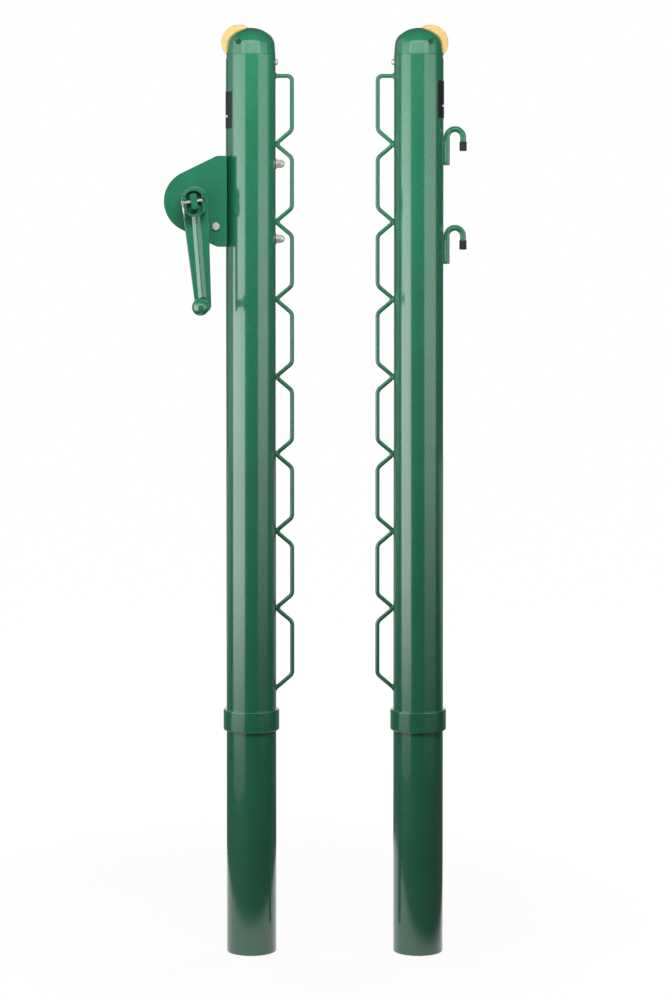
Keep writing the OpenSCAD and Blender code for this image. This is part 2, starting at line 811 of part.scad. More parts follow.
module winch_shaft() {
    tang_l = tang_back_y - tang_front_y;
    color(green)
        at_winch()
            difference() {
                stand(shaft_end_y)
                    cylinder(h = shaft_end_y - tang_front_y, r = shaft_r, $fn = 64);
                // Flats of the tang
                rotate([0, -tang_angle, 0])
                    for (x = [tang_t / 2, -tang_t / 2 - shaft_d])
                        translate([x, tang_front_y - over, -shaft_d])
                            cube([shaft_d, tang_l + over, 2 * shaft_d]);
                // Groove of the clip
                stand(clip_y + clip_t)
                    difference() {
                        cylinder(h = clip_t, r = shaft_r + over, $fn = 64);
                        cylinder(h = clip_t, r = clip_groove_r, $fn = 64);
                    }
                // Hole of the drum pin
                translate([0, drum_pin_y, 0])
                    rotate([0, 90, 0])
                        cylinder(h = shaft_d + 2 * over, r = drum_pin_r + fit_gap, center = true, $fn = 32);
                // Hole of the lock pin
                rotate([0, -tang_angle, 0])
                    translate([0, lock_pin_y, 0])
                        rotate([0, 90, 0])
                            cylinder(h = shaft_d, r = lock_pin_r + run_gap, center = true, $fn = 32);
            }
}

// Open clip in the groove at the rear end of the shaft
module shaft_clip() {
    clip_gap_w = 12;
    color(bright)
        at_winch()
            stand(clip_y + clip_t - fit_gap)
                difference() {
                    cylinder(h = clip_t - 2 * fit_gap, r = clip_r, $fn = 64);
                    translate([0, 0, -over])
                        cylinder(h = clip_t + 2 * over, r = clip_groove_r + fit_gap, $fn = 64);
                    translate([-clip_gap_w / 2, -clip_r - over, -over])
                        cube([clip_gap_w, clip_r + over, clip_t + 2 * over]);
                }
}

module cable_drum() {
    color(bright)
        at_winch()
            difference() {
                stand(drum_back_y - drum_flange_t)
                    cylinder(h = drum_len, r = drum_r, $fn = 64);
                stand(drum_back_y)
                    cylinder(h = drum_len * 2, r = shaft_r + fit_gap, $fn = 64);
                translate([0, drum_pin_y, 0])
                    rotate([0, 90, 0])
                        cylinder(h = drum_d + 2 * over, r = drum_pin_r + fit_gap, center = true, $fn = 32);
                translate([0, clamp_screw_y, 0])
                    rotate([0, 90 - clamp_angle, 0])
                        cylinder(h = drum_d, r = clamp_screw_r + fit_gap, $fn = 32);
            }
}

module drum_pin() {
    color(bright)
        at_winch()
            translate([0, drum_pin_y, 0])
                rotate([0, 90, 0])
                    cylinder(h = 2 * drum_pin_half, r = drum_pin_r, center = true, $fn = 32);
}

module drum_flange() {
    color(green)
        at_winch()
            stand(drum_back_y)
                difference() {
                    cylinder(h = drum_flange_t, r = ratchet_r, $fn = 64);
                    translate([0, 0, -over])
                        cylinder(h = drum_flange_t + 2 * over, r = shaft_r + fit_gap, $fn = 64);
                }
}

module ratchet_wheel() {
    teeth = [for (i = [0:tooth_count - 1]) each [
        pol(tooth_root_r, tip_angle + i * tooth_step),
        pol(ratchet_r, tip_angle + (i + 1) * tooth_step)]];
    color(bright)
        at_winch()
            stand(ratchet_y + ratchet_t)
                difference() {
                    linear_extrude(height = ratchet_t)
                        polygon(teeth);
                    translate([0, 0, -over])
                        cylinder(h = ratchet_t + 2 * over, r = shaft_r + fit_gap, $fn = 64);
                }
}

module cable_clamp_screw() {
    socket_flats = 4;
    color(bright)
        at_winch()
            translate([0, clamp_screw_y, 0])
                rotate([0, 90 - clamp_angle, 0])
                    difference() {
                        union() {
                            translate([0, 0, shaft_r + over])
                                cylinder(h = drum_r - shaft_r, r = clamp_screw_r, $fn = 32);
                            translate([0, 0, drum_r + fit_gap])
                                cylinder(h = clamp_head_h, d = clamp_head_d, $fn = 32);
                        }
                        translate([0, 0, drum_r + clamp_head_h / 2])
                            linear_extrude(height = clamp_head_h)
                                hexagon(socket_flats);
                    }
}

module pawl() {
    bed = [for (f = [0.1, 0.4, 0.7, 1])
        pol(tooth_root_r + tooth_depth * f + pass_gap, tip_angle + tooth_step * f)];
    pivot = [pawl_x, -pawl_drop];
    heel = pivot - [0, pawl_eye_r - over / 2];
    toe = pol(pawl_tip_r, tip_angle + 2);
    color(bright)
        at_winch()
            difference() {
                union() {
                    stand(pawl_y + pawl_t) {
                        linear_extrude(height = pawl_t)
                            polygon(concat(bed, [pivot, heel, toe]));
                        translate([pivot[0], pivot[1], 0])
                            cylinder(h = pawl_t, r = pawl_eye_r, $fn = 48);
                    }
                    // Finger tab that lifts the pawl out of the teeth
                    translate([toe[0] + 1, pawl_y, toe[1] - tab_t / 2])
                        cube([tab_t * 2, pawl_t + tab_l, tab_t]);
                }
                translate([pivot[0], 0, pivot[1]])
                    stand(pawl_y + pawl_t + over)
                        cylinder(h = pawl_t + 2 * over, r = pawl_bolt_r + run_gap, $fn = 32);
            }
}

module pawl_bolt() {
    bolt_end_y = plate_out + fit_gap + pawl_head_h + 1;
    color(bright)
        at_winch()
            translate([pawl_x, 0, -pawl_drop]) {
                stand(-plate_out - fit_gap)
                    linear_extrude(height = pawl_head_h)
                        hexagon(pawl_hex);
                stand(bolt_end_y)
                    cylinder(h = bolt_end_y + plate_out + pawl_head_h, r = pawl_bolt_r, $fn = 32);
            }
}

module pawl_spacer() {
    color(bright)
        at_winch()
            translate([pawl_x, 0, -pawl_drop])
                stand(plate_in - fit_gap)
                    difference() {
                        cylinder(h = plate_in - fit_gap - spacer_y, r = spacer_r, $fn = 48);
                        translate([0, 0, -over])
                            cylinder(h = 2 * plate_in, r = pawl_bolt_r + fit_gap, $fn = 32);
                    }
}

module pawl_nut() {
    color(bright)
        at_winch()
            translate([pawl_x, 0, -pawl_drop])
                stand(plate_out + fit_gap + pawl_head_h)
                    difference() {
                        linear_extrude(height = pawl_head_h)
                            hexagon(pawl_hex);
                        translate([0, 0, -over])
                            cylinder(h = pawl_head_h + 2 * over, r = pawl_bolt_r + fit_gap, $fn = 32);
                    }
}

// Centre line of the pawl spring: a leg under the pawl's tab, the turns, and a leg to the base plate
spring_step = 45;
spring_rings = spring_turns * 360 / spring_step;
spring_coil = [for (i = [0:spring_rings])
    let (a = 270 - i * spring_step)
    [spring_r * cos(a), spring_y + spring_pitch * i * spring_step / 360, spring_r * sin(a)]];
spring_first = spring_coil[0] + [-spring_leg, 0, -1.5];
spring_last = spring_coil[spring_rings] + [8, 0, 0];
spring_path = concat([spring_first], spring_coil, [spring_last]);
spring_self_gap = min([for (i = [0:spring_rings - 8]) norm(spring_coil[i + 8] - spring_coil[i])])
    - spring_wire_d;
echo(spring_self_gap = spring_self_gap);

// Round tube of six sides swept along a path of points that winds about Y
module wire(path, r) {
    n = len(path);
    sides = 6;
    rings = [for (i = [0:n - 1])
        let (
            t = unit(path[min(i + 1, n - 1)] - path[max(i - 1, 0)]),
            u = unit(cross(t, [0, 1, 0])),
            v = cross(t, u))
        for (k = [0:sides - 1]) path[i] + r * (u * cos(k * 60) + v * sin(k * 60))];
    sleeves = [for (i = [0:n - 2], k = [0:sides - 1])
        let (a = i * sides + k, b = i * sides + (k + 1) % sides)
        each [[a, b, b + sides], [a, b + sides, a + sides]]];
    ends = [for (k = [1:sides - 2]) each [
        [0, k + 1, k],
        [(n - 1) * sides, (n - 1) * sides + k, (n - 1) * sides + k + 1]]];
    polyhedron(points = rings, faces = concat(sleeves, ends));
}

module pawl_spring() {
    color(bright)
        at_winch()
            translate([pawl_x, 0, -pawl_drop])
                wire(spring_path, spring_wire_d / 2);
}

// Arm outline: two rounds joined by straight tapering edges, hanging down from the shaft
module arm_outline() {
    lean = asin((hub_r - arm_end_r) / (crank_l + hub_rise));
    polygon(concat(
        arc([0, hub_rise], hub_r, -lean, 180 + lean),
        arc([0, -crank_l], arm_end_r, 180 + lean, 360 - lean)));
}

// Boss outline, moved inward by a wall
module boss_outline(wall) {
    half_w = boss_half_w - wall;
    top_r = boss_top_r - wall;
    top_a = acos(half_w / top_r);
    foot = boss_foot - wall;
    foot_w = rib_w / 2 - wall / 2;
    polygon(concat(
        arc([0, hub_rise], top_r, top_a, 180 - top_a),
        [[-half_w, boss_corner_z], [-foot_w, -foot], [foot_w, -foot], [half_w, boss_corner_z]]));
}

// Notch with a round floor, open towards -x
module notch_outline(r, depth) {
    polygon(concat(arc([0, 0], r, -90, 90), [[-depth, r], [-depth, -r]]));
}

module crank_arm() {
    color(green)
        at_winch()
            rotate([0, -crank_angle, 0])
                difference() {
                    union() {
                        stand(arm_y)
                            linear_extrude(height = arm_t)
                                arm_outline();
                        stand(hub_y)
                            translate([0, hub_rise, 0])
                                cylinder(h = hub_back + arm_t / 2, r = hub_r - 1, $fn = 96);
                        stand(arm_y)
                            linear_extrude(height = arm_t + boss_h)
                                boss_outline(0);
                        // Rib from the boss to the grip
                        translate([0, arm_front_y, -crank_l])
                            linear_extrude(height = crank_l - rib_start)
                                polygon([
                                    [-rib_w / 2, over],
                                    [-rib_w / 2, 0],
                                    [-rib_crest_w / 2, -rib_h],
                                    [rib_crest_w / 2, -rib_h],
                                    [rib_w / 2, 0],
                                    [rib_w / 2, over]]);
                    }
                    // Pocket in the boss
                    stand(pocket_floor_y)
                        linear_extrude(height = pocket_depth + over)
                            boss_outline(pocket_wall);
                    // Socket of the tang
                    rotate([0, crank_angle - tang_angle, 0])
                        intersection() {
                            stand(hub_y + over)
                                cylinder(h = hub_y - boss_face_y + 2 * over, r = shaft_r + tang_gap, $fn = 64);
                            translate([-tang_t / 2 - tang_gap, boss_face_y - over, -shaft_d])
                                cube([tang_t + 2 * tang_gap, hub_y - boss_face_y + 2 * over, 2 * shaft_d]);
                        }
                    // Open notches of the lock pin
                    rotate([0, crank_angle - tang_angle, 0])
                        translate([-1.5 * boss_half_w, lock_pin_y, 0])
                            rotate([90, 0, 90])
                                linear_extrude(height = 3 * boss_half_w)
                                    notch_outline(lock_pin_notch_r, lock_pin_depth + over);
                    // Seat and hole of the grip's stud
                    translate([0, 0, -crank_l]) {
                        stand(arm_y + over)
                            cylinder(h = arm_t + rib_h + 2 * over, r = stud_r + fit_gap, $fn = 32);
                        stand(arm_front_y)
                            cylinder(h = rib_h + over, r = arm_end_r, $fn = 64);
                    }
                }
}

// Moves to the grip's axis on the hanging crank
module at_grip() {
    at_winch()
        rotate([0, -crank_angle, 0])
            translate([0, 0, -crank_l])
                children();
}

module grip_stud() {
    color(bright)
        at_grip() {
            stand(arm_y + fit_gap + stud_head_t)
                cylinder(h = stud_head_t, r = stud_head_r, $fn = 48);
            stand(arm_y + stud_head_t)
                cylinder(h = arm_y + stud_head_t - grip_y + stud_end, r = stud_r, $fn = 32);
        }
}

module crank_grip() {
    flange_r = grip_flange_d / 2;
    ball_start = asin(grip_neck_r / grip_ball_r);
    bore_depth = stud_end + pass_gap;
    bore = stud_r + run_gap;
    color(green)
        at_grip()
            stand(grip_y)
                rotate_extrude($fn = 64)
                    polygon(concat(
                        [[bore, 0], [flange_r - 1, 0], [flange_r, 1], [flange_r, grip_flange_t - 1],
                         [flange_r - 1, grip_flange_t],
                         [grip_waist_r, grip_flange_t + 3],
                         [grip_neck_r, grip_ball_at / 2]],
                        [for (a = [180 - ball_start:-6:6])
                            [grip_ball_r * sin(a), grip_ball_at + grip_ball_r * cos(a)]],
                        [[0, grip_l], [0, bore_depth], [bore, bore_depth]]));
}

// Moves to the lock pin's axis, with x along the pin
module at_lock_pin() {
    at_winch()
        rotate([0, -tang_angle, 0])
            translate([0, lock_pin_y, 0])
                children();
}

module lock_pin() {
    color(bright)
        at_lock_pin()
            difference() {
                rotate([0, 90, 0])
                    rotate_extrude($fn = 32)
                        polygon([
                            [0, -pin_head_x - pin_head_l / 2],
                            [pin_head_r - 0.6, -pin_head_x - pin_head_l / 2],
                            [pin_head_r, -pin_head_x - pin_head_l / 2 + 0.6],
                            [pin_head_r, -pin_head_x + pin_head_l / 2],
                            [lock_pin_r, -pin_head_x + pin_head_l / 2],
                            [lock_pin_r, lock_pin_end - 1],
                            [lock_pin_r - 0.8, lock_pin_end],
                            [0, lock_pin_end]]);
                translate([-pin_head_x, 0, 0])
                    rotate([90, 0, 0])
                        cylinder(h = 4 * pin_head_r, r = ring_hole_r, center = true, $fn = 32);
            }
}

module pull_ring() {
    color(bright)
        at_lock_pin()
            translate([-pin_head_x, 0, -ring_mid_r])
                rotate([0, 90, 0])
                    rotate_extrude($fn = 64)
                        translate([ring_mid_r, 0])
                            circle(r = ring_wire_r, $fn = 24);
}

// Cable hook, with its bend at height z
module cable_hook(z) {
    top = z + hook_bend_r;
    leg_end = z - hook_leg_l + tip_end_t + fit_gap;
    color(green)
        at_hook_post()
            difference() {
                union() {
                    translate([-hook_x, 0, z - hook_shank_l])
                        cylinder(h = hook_shank_l, r = hook_r, $fn = 48);
                    translate([-hook_x - hook_bend_r, 0, z])
                        rotate([90, 0, 0])
                            rotate_extrude(angle = 180, $fn = 96)
                                translate([hook_bend_r, 0])
                                    circle(r = hook_r, $fn = 48);
                    translate([-hook_x - 2 * hook_bend_r, 0, leg_end])
                        cylinder(h = z - leg_end, r = hook_r, $fn = 48);
                    // Weld down both sides of the shank
                    translate([-post_r - 0.5, 0, z - hook_shank_l + 4])
                        cylinder(h = hook_shank_l - 10, r = hook_r + 1, $fn = 32);
                }
                translate([0, 0, z - hook_shank_l - over])
                    cylinder(h = top - z + hook_shank_l + 2 * over, r = post_r + fit_gap, $fn = 96);
            }
}

// Rubber tip on the free leg of a cable hook
module hook_tip(z) {
    edge = 2;
    ridge = tip_l - tip_end_t - edge;
    ridge_pitch = ridge / rib_count;
    ridge_depth = 0.4;
    color(black)
        at_hook_post()
            translate([-hook_x - 2 * hook_bend_r, 0, z - hook_leg_l])
                rotate_extrude($fn = 48)
                    polygon(concat(
                        [[0, 0]],
                        arc([tip_r - edge, edge], edge, -90, 0),
                        [for (i = [0:rib_count - 1]) each [
                            [tip_r - ridge_depth, edge + (i + 0.5) * ridge_pitch],
                            [tip_r, edge + (i + 0.9) * ridge_pitch]]],
                        [[tip_r - ridge_depth, tip_l], [tip_bore_r, tip_l], [tip_bore_r, tip_end_t],
                         [0, tip_end_t]]));
}

winch_post_tube();
foot_plug();  // winch_post_foot_plug
ground_collar();  // winch_post_ground_collar
post_cap();  // winch_post_cap
cap_screw();  // winch_post_cap_screw
pulley();  // winch_post_pulley
pulley_axle();  // winch_post_pulley_axle
lacing_rod();  // winch_post_lacing_rod
weld_beads();  // winch_post_weld_beads
label(winch_label_drop);  // winch_post_label
winch_base_plate();
side_plate(-plate_in);  // winch_front_plate
side_plate(plate_out);  // winch_rear_plate
winch_mounting_bolts();
winch_washers();
winch_acorn_nuts();
bush();  // front_bush
mirror([0, 1, 0]) bush();  // rear_bush
winch_shaft();
shaft_clip();
cable_drum();
drum_pin();
drum_flange();
ratchet_wheel();
cable_clamp_screw();
pawl();
pawl_bolt();
pawl_spacer();
pawl_nut();
pawl_spring();
crank_arm();
grip_stud();
crank_grip();
lock_pin();
pull_ring();
at_hook_post() color(green) post_tube();  // hook_post_tube
at_hook_post() foot_plug();  // hook_post_foot_plug
at_hook_post() ground_collar();  // hook_post_ground_collar
at_hook_post() post_cap();  // hook_post_cap
at_hook_post() cap_screw();  // hook_post_cap_screw
at_hook_post() pulley();  // hook_post_pulley
at_hook_post() pulley_axle();  // hook_post_pulley_axle
at_hook_post() lacing_rod();  // hook_post_lacing_rod
at_hook_post() weld_beads();  // hook_post_weld_beads
at_hook_post() label(hook_label_drop);  // hook_post_label
cable_hook(upper_hook_z);  // upper_cable_hook
cable_hook(lower_hook_z);  // lower_cable_hook
hook_tip(upper_hook_z);  // upper_hook_tip
hook_tip(lower_hook_z);  // lower_hook_tip
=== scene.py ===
import math

import bpy
from bpy.props import FloatProperty, FloatVectorProperty, IntProperty, PointerProperty
from mathutils import Matrix, Vector, noise


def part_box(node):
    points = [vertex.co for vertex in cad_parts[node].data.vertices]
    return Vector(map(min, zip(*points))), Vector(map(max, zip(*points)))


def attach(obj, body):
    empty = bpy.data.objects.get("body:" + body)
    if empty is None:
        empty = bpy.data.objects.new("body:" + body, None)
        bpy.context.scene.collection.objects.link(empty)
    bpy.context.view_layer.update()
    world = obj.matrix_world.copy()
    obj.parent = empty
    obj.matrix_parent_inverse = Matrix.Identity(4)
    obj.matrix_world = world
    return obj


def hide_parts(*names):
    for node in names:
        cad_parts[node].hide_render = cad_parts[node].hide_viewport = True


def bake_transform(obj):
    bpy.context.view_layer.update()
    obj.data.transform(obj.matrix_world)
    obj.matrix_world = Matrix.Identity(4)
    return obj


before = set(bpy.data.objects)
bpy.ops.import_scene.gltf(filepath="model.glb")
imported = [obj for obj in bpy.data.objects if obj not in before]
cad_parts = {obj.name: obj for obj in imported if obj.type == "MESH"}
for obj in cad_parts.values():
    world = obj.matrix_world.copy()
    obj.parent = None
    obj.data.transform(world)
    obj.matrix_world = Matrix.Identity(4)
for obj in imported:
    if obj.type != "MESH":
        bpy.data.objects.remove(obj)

bl_info = {
    "name": "Tennis net posts",
    "version": (1, 0, 0),
    "blender": (4, 5, 0),
    "location": "3D View > Sidebar > Net posts",
    "description": "Finishes for a pair of round tennis net posts with a ratchet winch, "
                   "in a plain studio",
    "category": "Object",
}

MM = 0.001
POSTS = ("winch_post", "hook_post")

# Nodes of the frame by finish, with the width of the rounding on their edges in millimetres
COATED = {
    "winch_post_tube": 0.9, "winch_post_foot_plug": 0.4, "winch_post_ground_collar": 0,
    "winch_post_cap": 0.9, "hook_post_tube": 0.9, "hook_post_foot_plug": 0.4,
    "hook_post_ground_collar": 0, "hook_post_cap": 0.9,
    "winch_base_plate": 0.6, "winch_front_plate": 1.0, "winch_rear_plate": 1.0,
    "winch_shaft": 0.6, "crank_arm": 1.2, "crank_grip": 0,
    "upper_cable_hook": 0.3, "lower_cable_hook": 0.3,
}
BRIGHT = {
    "winch_post_cap_screw": 0.2, "hook_post_cap_screw": 0.2,
    "winch_mounting_bolts": 0.3, "winch_washers": 0.2, "winch_acorn_nuts": 0.25,
    "pawl_bolt": 0.4, "pawl_nut": 0.3, "grip_stud": 0.3,
    "lock_pin": 0, "pull_ring": 0,
}
MACHINED = {
    "shaft_clip": 0.2, "cable_drum": 0.4, "drum_pin": 0.2, "drum_flange": 0.3,
    "ratchet_wheel": 0.25, "cable_clamp_screw": 0.2, "pawl": 0.3, "pawl_spacer": 0.2,
}
BUSHES = {"front_bush": 0.3, "rear_bush": 0.3}
PULLEYS = {"winch_post_pulley": 0.35, "hook_post_pulley": 0.35}
AXLES = {"winch_post_pulley_axle": 0.4, "hook_post_pulley_axle": 0.4}
TIPS = {"upper_hook_tip": 0.15, "lower_hook_tip": 0.15}

# Nodes whose smallest hidden step would otherwise hold back the rounding of all their edges
UNCLAMPED = ("winch_post_tube", "hook_post_tube", "crank_arm")
# Faces of the crank's casting whose outer edges are rounded, by their distance behind its
# foremost face, with their share of the rounding
CRANK_FACES = {0.0: 0.5, 0.020: 1.0}
# Smallest turn between two faces at which their edge is rounded, and at which it is shaded hard
ROUNDED_ANGLE = math.radians(35)
HARD_ANGLE = math.radians(38)
# Largest turn between triangles that are joined into one flat face before rounding
FLAT_ANGLE = math.radians(0.5)
# Distance in metres within which split vertices are one, and an edge lies on a plane
SAME_POINT = 1e-6
ON_PLANE = 0.0001

# Gap between a tube's face and the rod and beads that are welded to it
WELD_SEAT = 0.00005
# Half the depth, width and height of a weld: at a loop, at the rod's top bar and at its foot
LOOP_WELD = (0.0030, 0.0048, 0.0050)
TOP_WELD = (0.0019, 0.0047, 0.0046)
FOOT_WELD = (0.0019, 0.0046, 0.0052)
# How far the middle of a weld stands off the seat, at a loop and at the rod's two ends
LOOP_WELD_REACH = 0.0006
END_WELD_REACH = 0.0002
# Depth of a weld's ripples and of its grain, as shares of its size, and how close they lie
RIPPLE_DEPTH, RIPPLE_PITCH = 0.07, 9
GRAIN_DEPTH, GRAIN_PITCH = 0.10, 420

# Sides of the rods' and the spring's round sections
ROD_SIDES = 28
SPRING_SIDES = 12
# Points in each turn of the spring's coil, and the angle in degrees where the coil starts
COIL_STEPS = 24
COIL_START = 270
# Drop of the leg that runs to the pawl, and length of the leg that stays
PAWL_LEG_DROP = 0.0015
FIXED_LEG = 0.008

# Stripe on a label: how far below its middle, half the stripe's thickness and half its length
STRIPE_DROP = 0.0095
STRIPE_HALF = 0.0016
STRIPE_REACH = 0.0165

# Darker and lighter tones of the finishes that have no setting, and the tone of the stripe
# The axles' two tones are a green coat darkened with painted shade of the recess round their ends
COAT_AND_RECESS_SHADE_TONES = ((0.004, 0.034, 0.019), (0.006, 0.050, 0.028))
RUBBER_TONES = ((0.010, 0.010, 0.010), (0.022, 0.021, 0.020))
VINYL_TONES = ((0.010, 0.010, 0.011), (0.016, 0.016, 0.017))
STRIPE_TONE = (0.62, 0.64, 0.62)

# Middle of the lamps' ring along X, and the height at which the lamp overhead aims
LAMPS_X = 0.128
TOP_AIM = 1.3
# Height and level up a lamp for one that is even to its foot, and for one even to its crown
EVEN_FOOT = (0.01, 1.0)
EVEN_CROWN = (0.99, 1.0)
# Middle of the floor along X, its height, its radius and the grey that takes the shadow
FLOOR_X = 0.126
FLOOR_Z = -0.0005
FLOOR_REACH = 9.0
FLOOR_TONE = (0.06, 0.06, 0.06, 1)
# Bright sheet on the floor that only reflections show: an ellipse round the posts' feet
SHEET_Y = 0.25
SHEET_RADII = (0.47, 0.5)


class CoatSettings(bpy.types.PropertyGroup):
    """Glossy green powder coat"""
    colour: FloatVectorProperty(
        name="Coat colour", description="Green of the powder coat", subtype="COLOR",
        size=3, min=0, max=1, default=(0.0138, 0.136, 0.070))
    shade: FloatVectorProperty(
        name="Shade", description="Slightly deeper green of the coat's uneven film",
        subtype="COLOR", size=3, min=0, max=1, default=(0.0120, 0.121, 0.062))
    peel: FloatProperty(
        name="Orange peel", description="Depth of the fine waves in the coat",
        default=0.00003, min=0, max=0.001, unit="LENGTH")


class SteelSettings(bpy.types.PropertyGroup):
    """Bright fixings and bare steel"""
    bright: FloatVectorProperty(
        name="Bright plating", description="Colour of the plated fixings", subtype="COLOR",
        size=3, min=0, max=1, default=(0.84, 0.81, 0.78))
    machined: FloatVectorProperty(
        name="Machined steel", description="Colour of the oiled steel inside the winch",
        subtype="COLOR", size=3, min=0, max=1, default=(0.40, 0.40, 0.39))
    brass: FloatVectorProperty(
        name="Pulley brass", description="Colour of the pale polished pulleys", subtype="COLOR",
        size=3, min=0, max=1, default=(0.82, 0.56, 0.22))
    bronze: FloatVectorProperty(
        name="Bush bronze", description="Colour of the sintered bushes", subtype="COLOR",
        size=3, min=0, max=1, default=(0.52, 0.32, 0.14))


class RodSettings(bpy.types.PropertyGroup):
    """Bent lacing rods welded to the tubes"""
    thickness: FloatProperty(
        name="Rod diameter", description="Thickness of the lacing rod",
        default=0.00635, min=0.004, max=0.010, unit="LENGTH")
    reach: FloatProperty(
        name="Reach", description="From the tube's face to the middle of the rod's outer runs",
        default=0.0246, min=0.015, max=0.035, unit="LENGTH")
    top: FloatProperty(
        name="Top bar height", description="Height of the rod's top bar",
        default=1.3432, min=1.0, max=1.5, unit="LENGTH")
    bottom: FloatProperty(
        name="Foot height", description="Height at which the rod comes back to the tube",
        default=0.4067, min=0.3, max=0.6, unit="LENGTH")
    first_loop: FloatProperty(
        name="First loop", description="From the top bar down to the first weld",
        default=0.1035, min=0.05, max=0.2, unit="LENGTH")
    last_loop: FloatProperty(
        name="Last loop", description="From the last weld down to the rod's foot",
        default=0.1229, min=0.05, max=0.2, unit="LENGTH")
    loops: IntProperty(
        name="Loops", description="Loops down each post", default=8, min=3, max=12)
    corner_rise: FloatProperty(
        name="Corner rise", description="Height from a weld to the corner of the outer run",
        default=0.021, min=0.01, max=0.04, unit="LENGTH")
    weld_half: FloatProperty(
        name="Half weld", description="Half the height of the short run at a weld",
        default=0.003, min=0.001, max=0.01, unit="LENGTH")
    outer_bend: FloatProperty(
        name="Outer bend", description="Bend radius of the outer corners",
        default=0.011, min=0.004, max=0.02, unit="LENGTH")
    inner_bend: FloatProperty(
        name="Inner bend", description="Bend radius at the welds",
        default=0.005, min=0.002, max=0.01, unit="LENGTH")
    top_bend: FloatProperty(
        name="Top bend", description="Bend radius at the end of the top bar",
        default=0.007, min=0.003, max=0.02, unit="LENGTH")


class SpringSettings(bpy.types.PropertyGroup):
    """Torsion spring of the pawl"""
    wire: FloatProperty(
        name="Wire", description="Diameter of the spring wire",
        default=0.0012, min=0.0005, max=0.002, unit="LENGTH")
    radius: FloatProperty(
        name="Coil radius", description="Radius of the middle of the wire in the coil",
        default=0.0067, min=0.004, max=0.012, unit="LENGTH")
    pitch: FloatProperty(
        name="Pitch", description="Rise of the coil in each turn",
        default=0.002, min=0.001, max=0.004, unit="LENGTH")
    turns: IntProperty(name="Turns", description="Turns of the coil", default=5, min=2, max=9)
    leg: FloatProperty(
        name="Pawl leg", description="Length of the leg under the pawl's tab",
        default=0.020, min=0.005, max=0.03, unit="LENGTH")


class StageSettings(bpy.types.PropertyGroup):
    """Camera, floor and soft lights"""
    distance: FloatProperty(
        name="Camera distance", description="From the posts' plane to the camera",
        default=4.45, min=2, max=12, unit="LENGTH")
    height: FloatProperty(
        name="Camera height", description="Height of the camera",
        default=1.1442, min=0.2, max=3, unit="LENGTH")
    side: FloatProperty(
        name="Camera side", description="Place of the camera along X",
        default=0.126, min=-2, max=2, unit="LENGTH")
    pitch: FloatProperty(
        name="Camera pitch", description="Angle at which the camera looks down",
        default=math.radians(2.419), min=-1, max=1, subtype="ANGLE", unit="ROTATION")
    lens: FloatProperty(
        name="Lens", description="Focal length in millimetres", default=104.98, min=20, max=300)
    shift: FloatProperty(
        name="Vertical shift", description="Shift of the picture",
        default=-0.17, min=-0.2, max=0.2)
    left_lamp: FloatProperty(
        name="Left lamp", description="Power of the tall lamp on the left, in watts",
        default=18, min=0, max=500)
    right_lamp: FloatProperty(
        name="Right lamp", description="Power of the tall lamp on the right, in watts",
        default=10, min=0, max=500)
    top_lamp: FloatProperty(
        name="Top lamp", description="Power of the soft lamp overhead, in watts",
        default=17, min=0, max=500)
    front_lamp: FloatProperty(
        name="Front lamp", description="Power of the wide lamp above the camera's line, in watts",
        default=7, min=0, max=500)
    back_lamps: FloatProperty(
        name="Back lamps",
        description="Power of each of the two soft lamps behind the posts, in watts",
        default=20, min=0, max=500)
    room: FloatProperty(
        name="Room light", description="Strength of the even light of the room",
        default=0.0, min=0, max=2)


def settings(name):
    """One group of this file's settings."""
    return getattr(bpy.context.scene, "netpost_" + name)


# Node trees

def plug(tree, value, socket):
    """Links an output to a socket, or sets the socket's own value."""
    if hasattr(value, "is_output"):
        tree.links.new(value, socket)
    elif value is not None:
        socket.default_value = value


def reckon(tree, operation, first, second=None):
    """The result of a sum on one or two values."""
    node = tree.nodes.new("ShaderNodeMath")
    node.operation = operation
    plug(tree, first, node.inputs[0])
    plug(tree, second, node.inputs[1])
    return node.outputs[0]


def spread(tree, value, low, high, to_low=0.0, to_high=1.0, kind="LINEAR"):
    """A value carried from one range to another."""
    node = tree.nodes.new("ShaderNodeMapRange")
    node.interpolation_type = kind
    for name, number in (("From Min", low), ("From Max", high),
                         ("To Min", to_low), ("To Max", to_high)):
        node.inputs[name].default_value = number
    tree.links.new(value, node.inputs["Value"])
    return node.outputs["Result"]


def fade(tree, value, start, end, low, high):
    """A value carried softly from low at the start to high at the end."""
    return spread(tree, value, start, end, low, high, "SMOOTHSTEP")


def mirrored_ray(tree, path):
    """Whether a ray has come off a mirror or through glass."""
    return reckon(tree, "MAXIMUM",
                  path.outputs["Is Glossy Ray"], path.outputs["Is Transmission Ray"])


def mesh_group(name):
    """An empty group for meshes, with its input and output."""
    group = bpy.data.node_groups.new(name, "GeometryNodeTree")
    for way in ("INPUT", "OUTPUT"):
        group.interface.new_socket("Geometry", in_out=way, socket_type="NodeSocketGeometry")
    return group, group.nodes.new("NodeGroupInput"), group.nodes.new("NodeGroupOutput")


# Meshes

def new_piece(name, points, faces, smooth_angle=math.radians(40)):
    """A mesh object in metres, smooth but for its hard edges."""
    mesh = bpy.data.meshes.new(name)
    mesh.from_pydata([tuple(p) for p in points], [], faces)
    mesh.validate()
    mesh.shade_smooth()
    mesh.set_sharp_from_angle(angle=smooth_angle)
    obj = bpy.data.objects.new(name, mesh)
    bpy.context.scene.collection.objects.link(obj)
    return obj


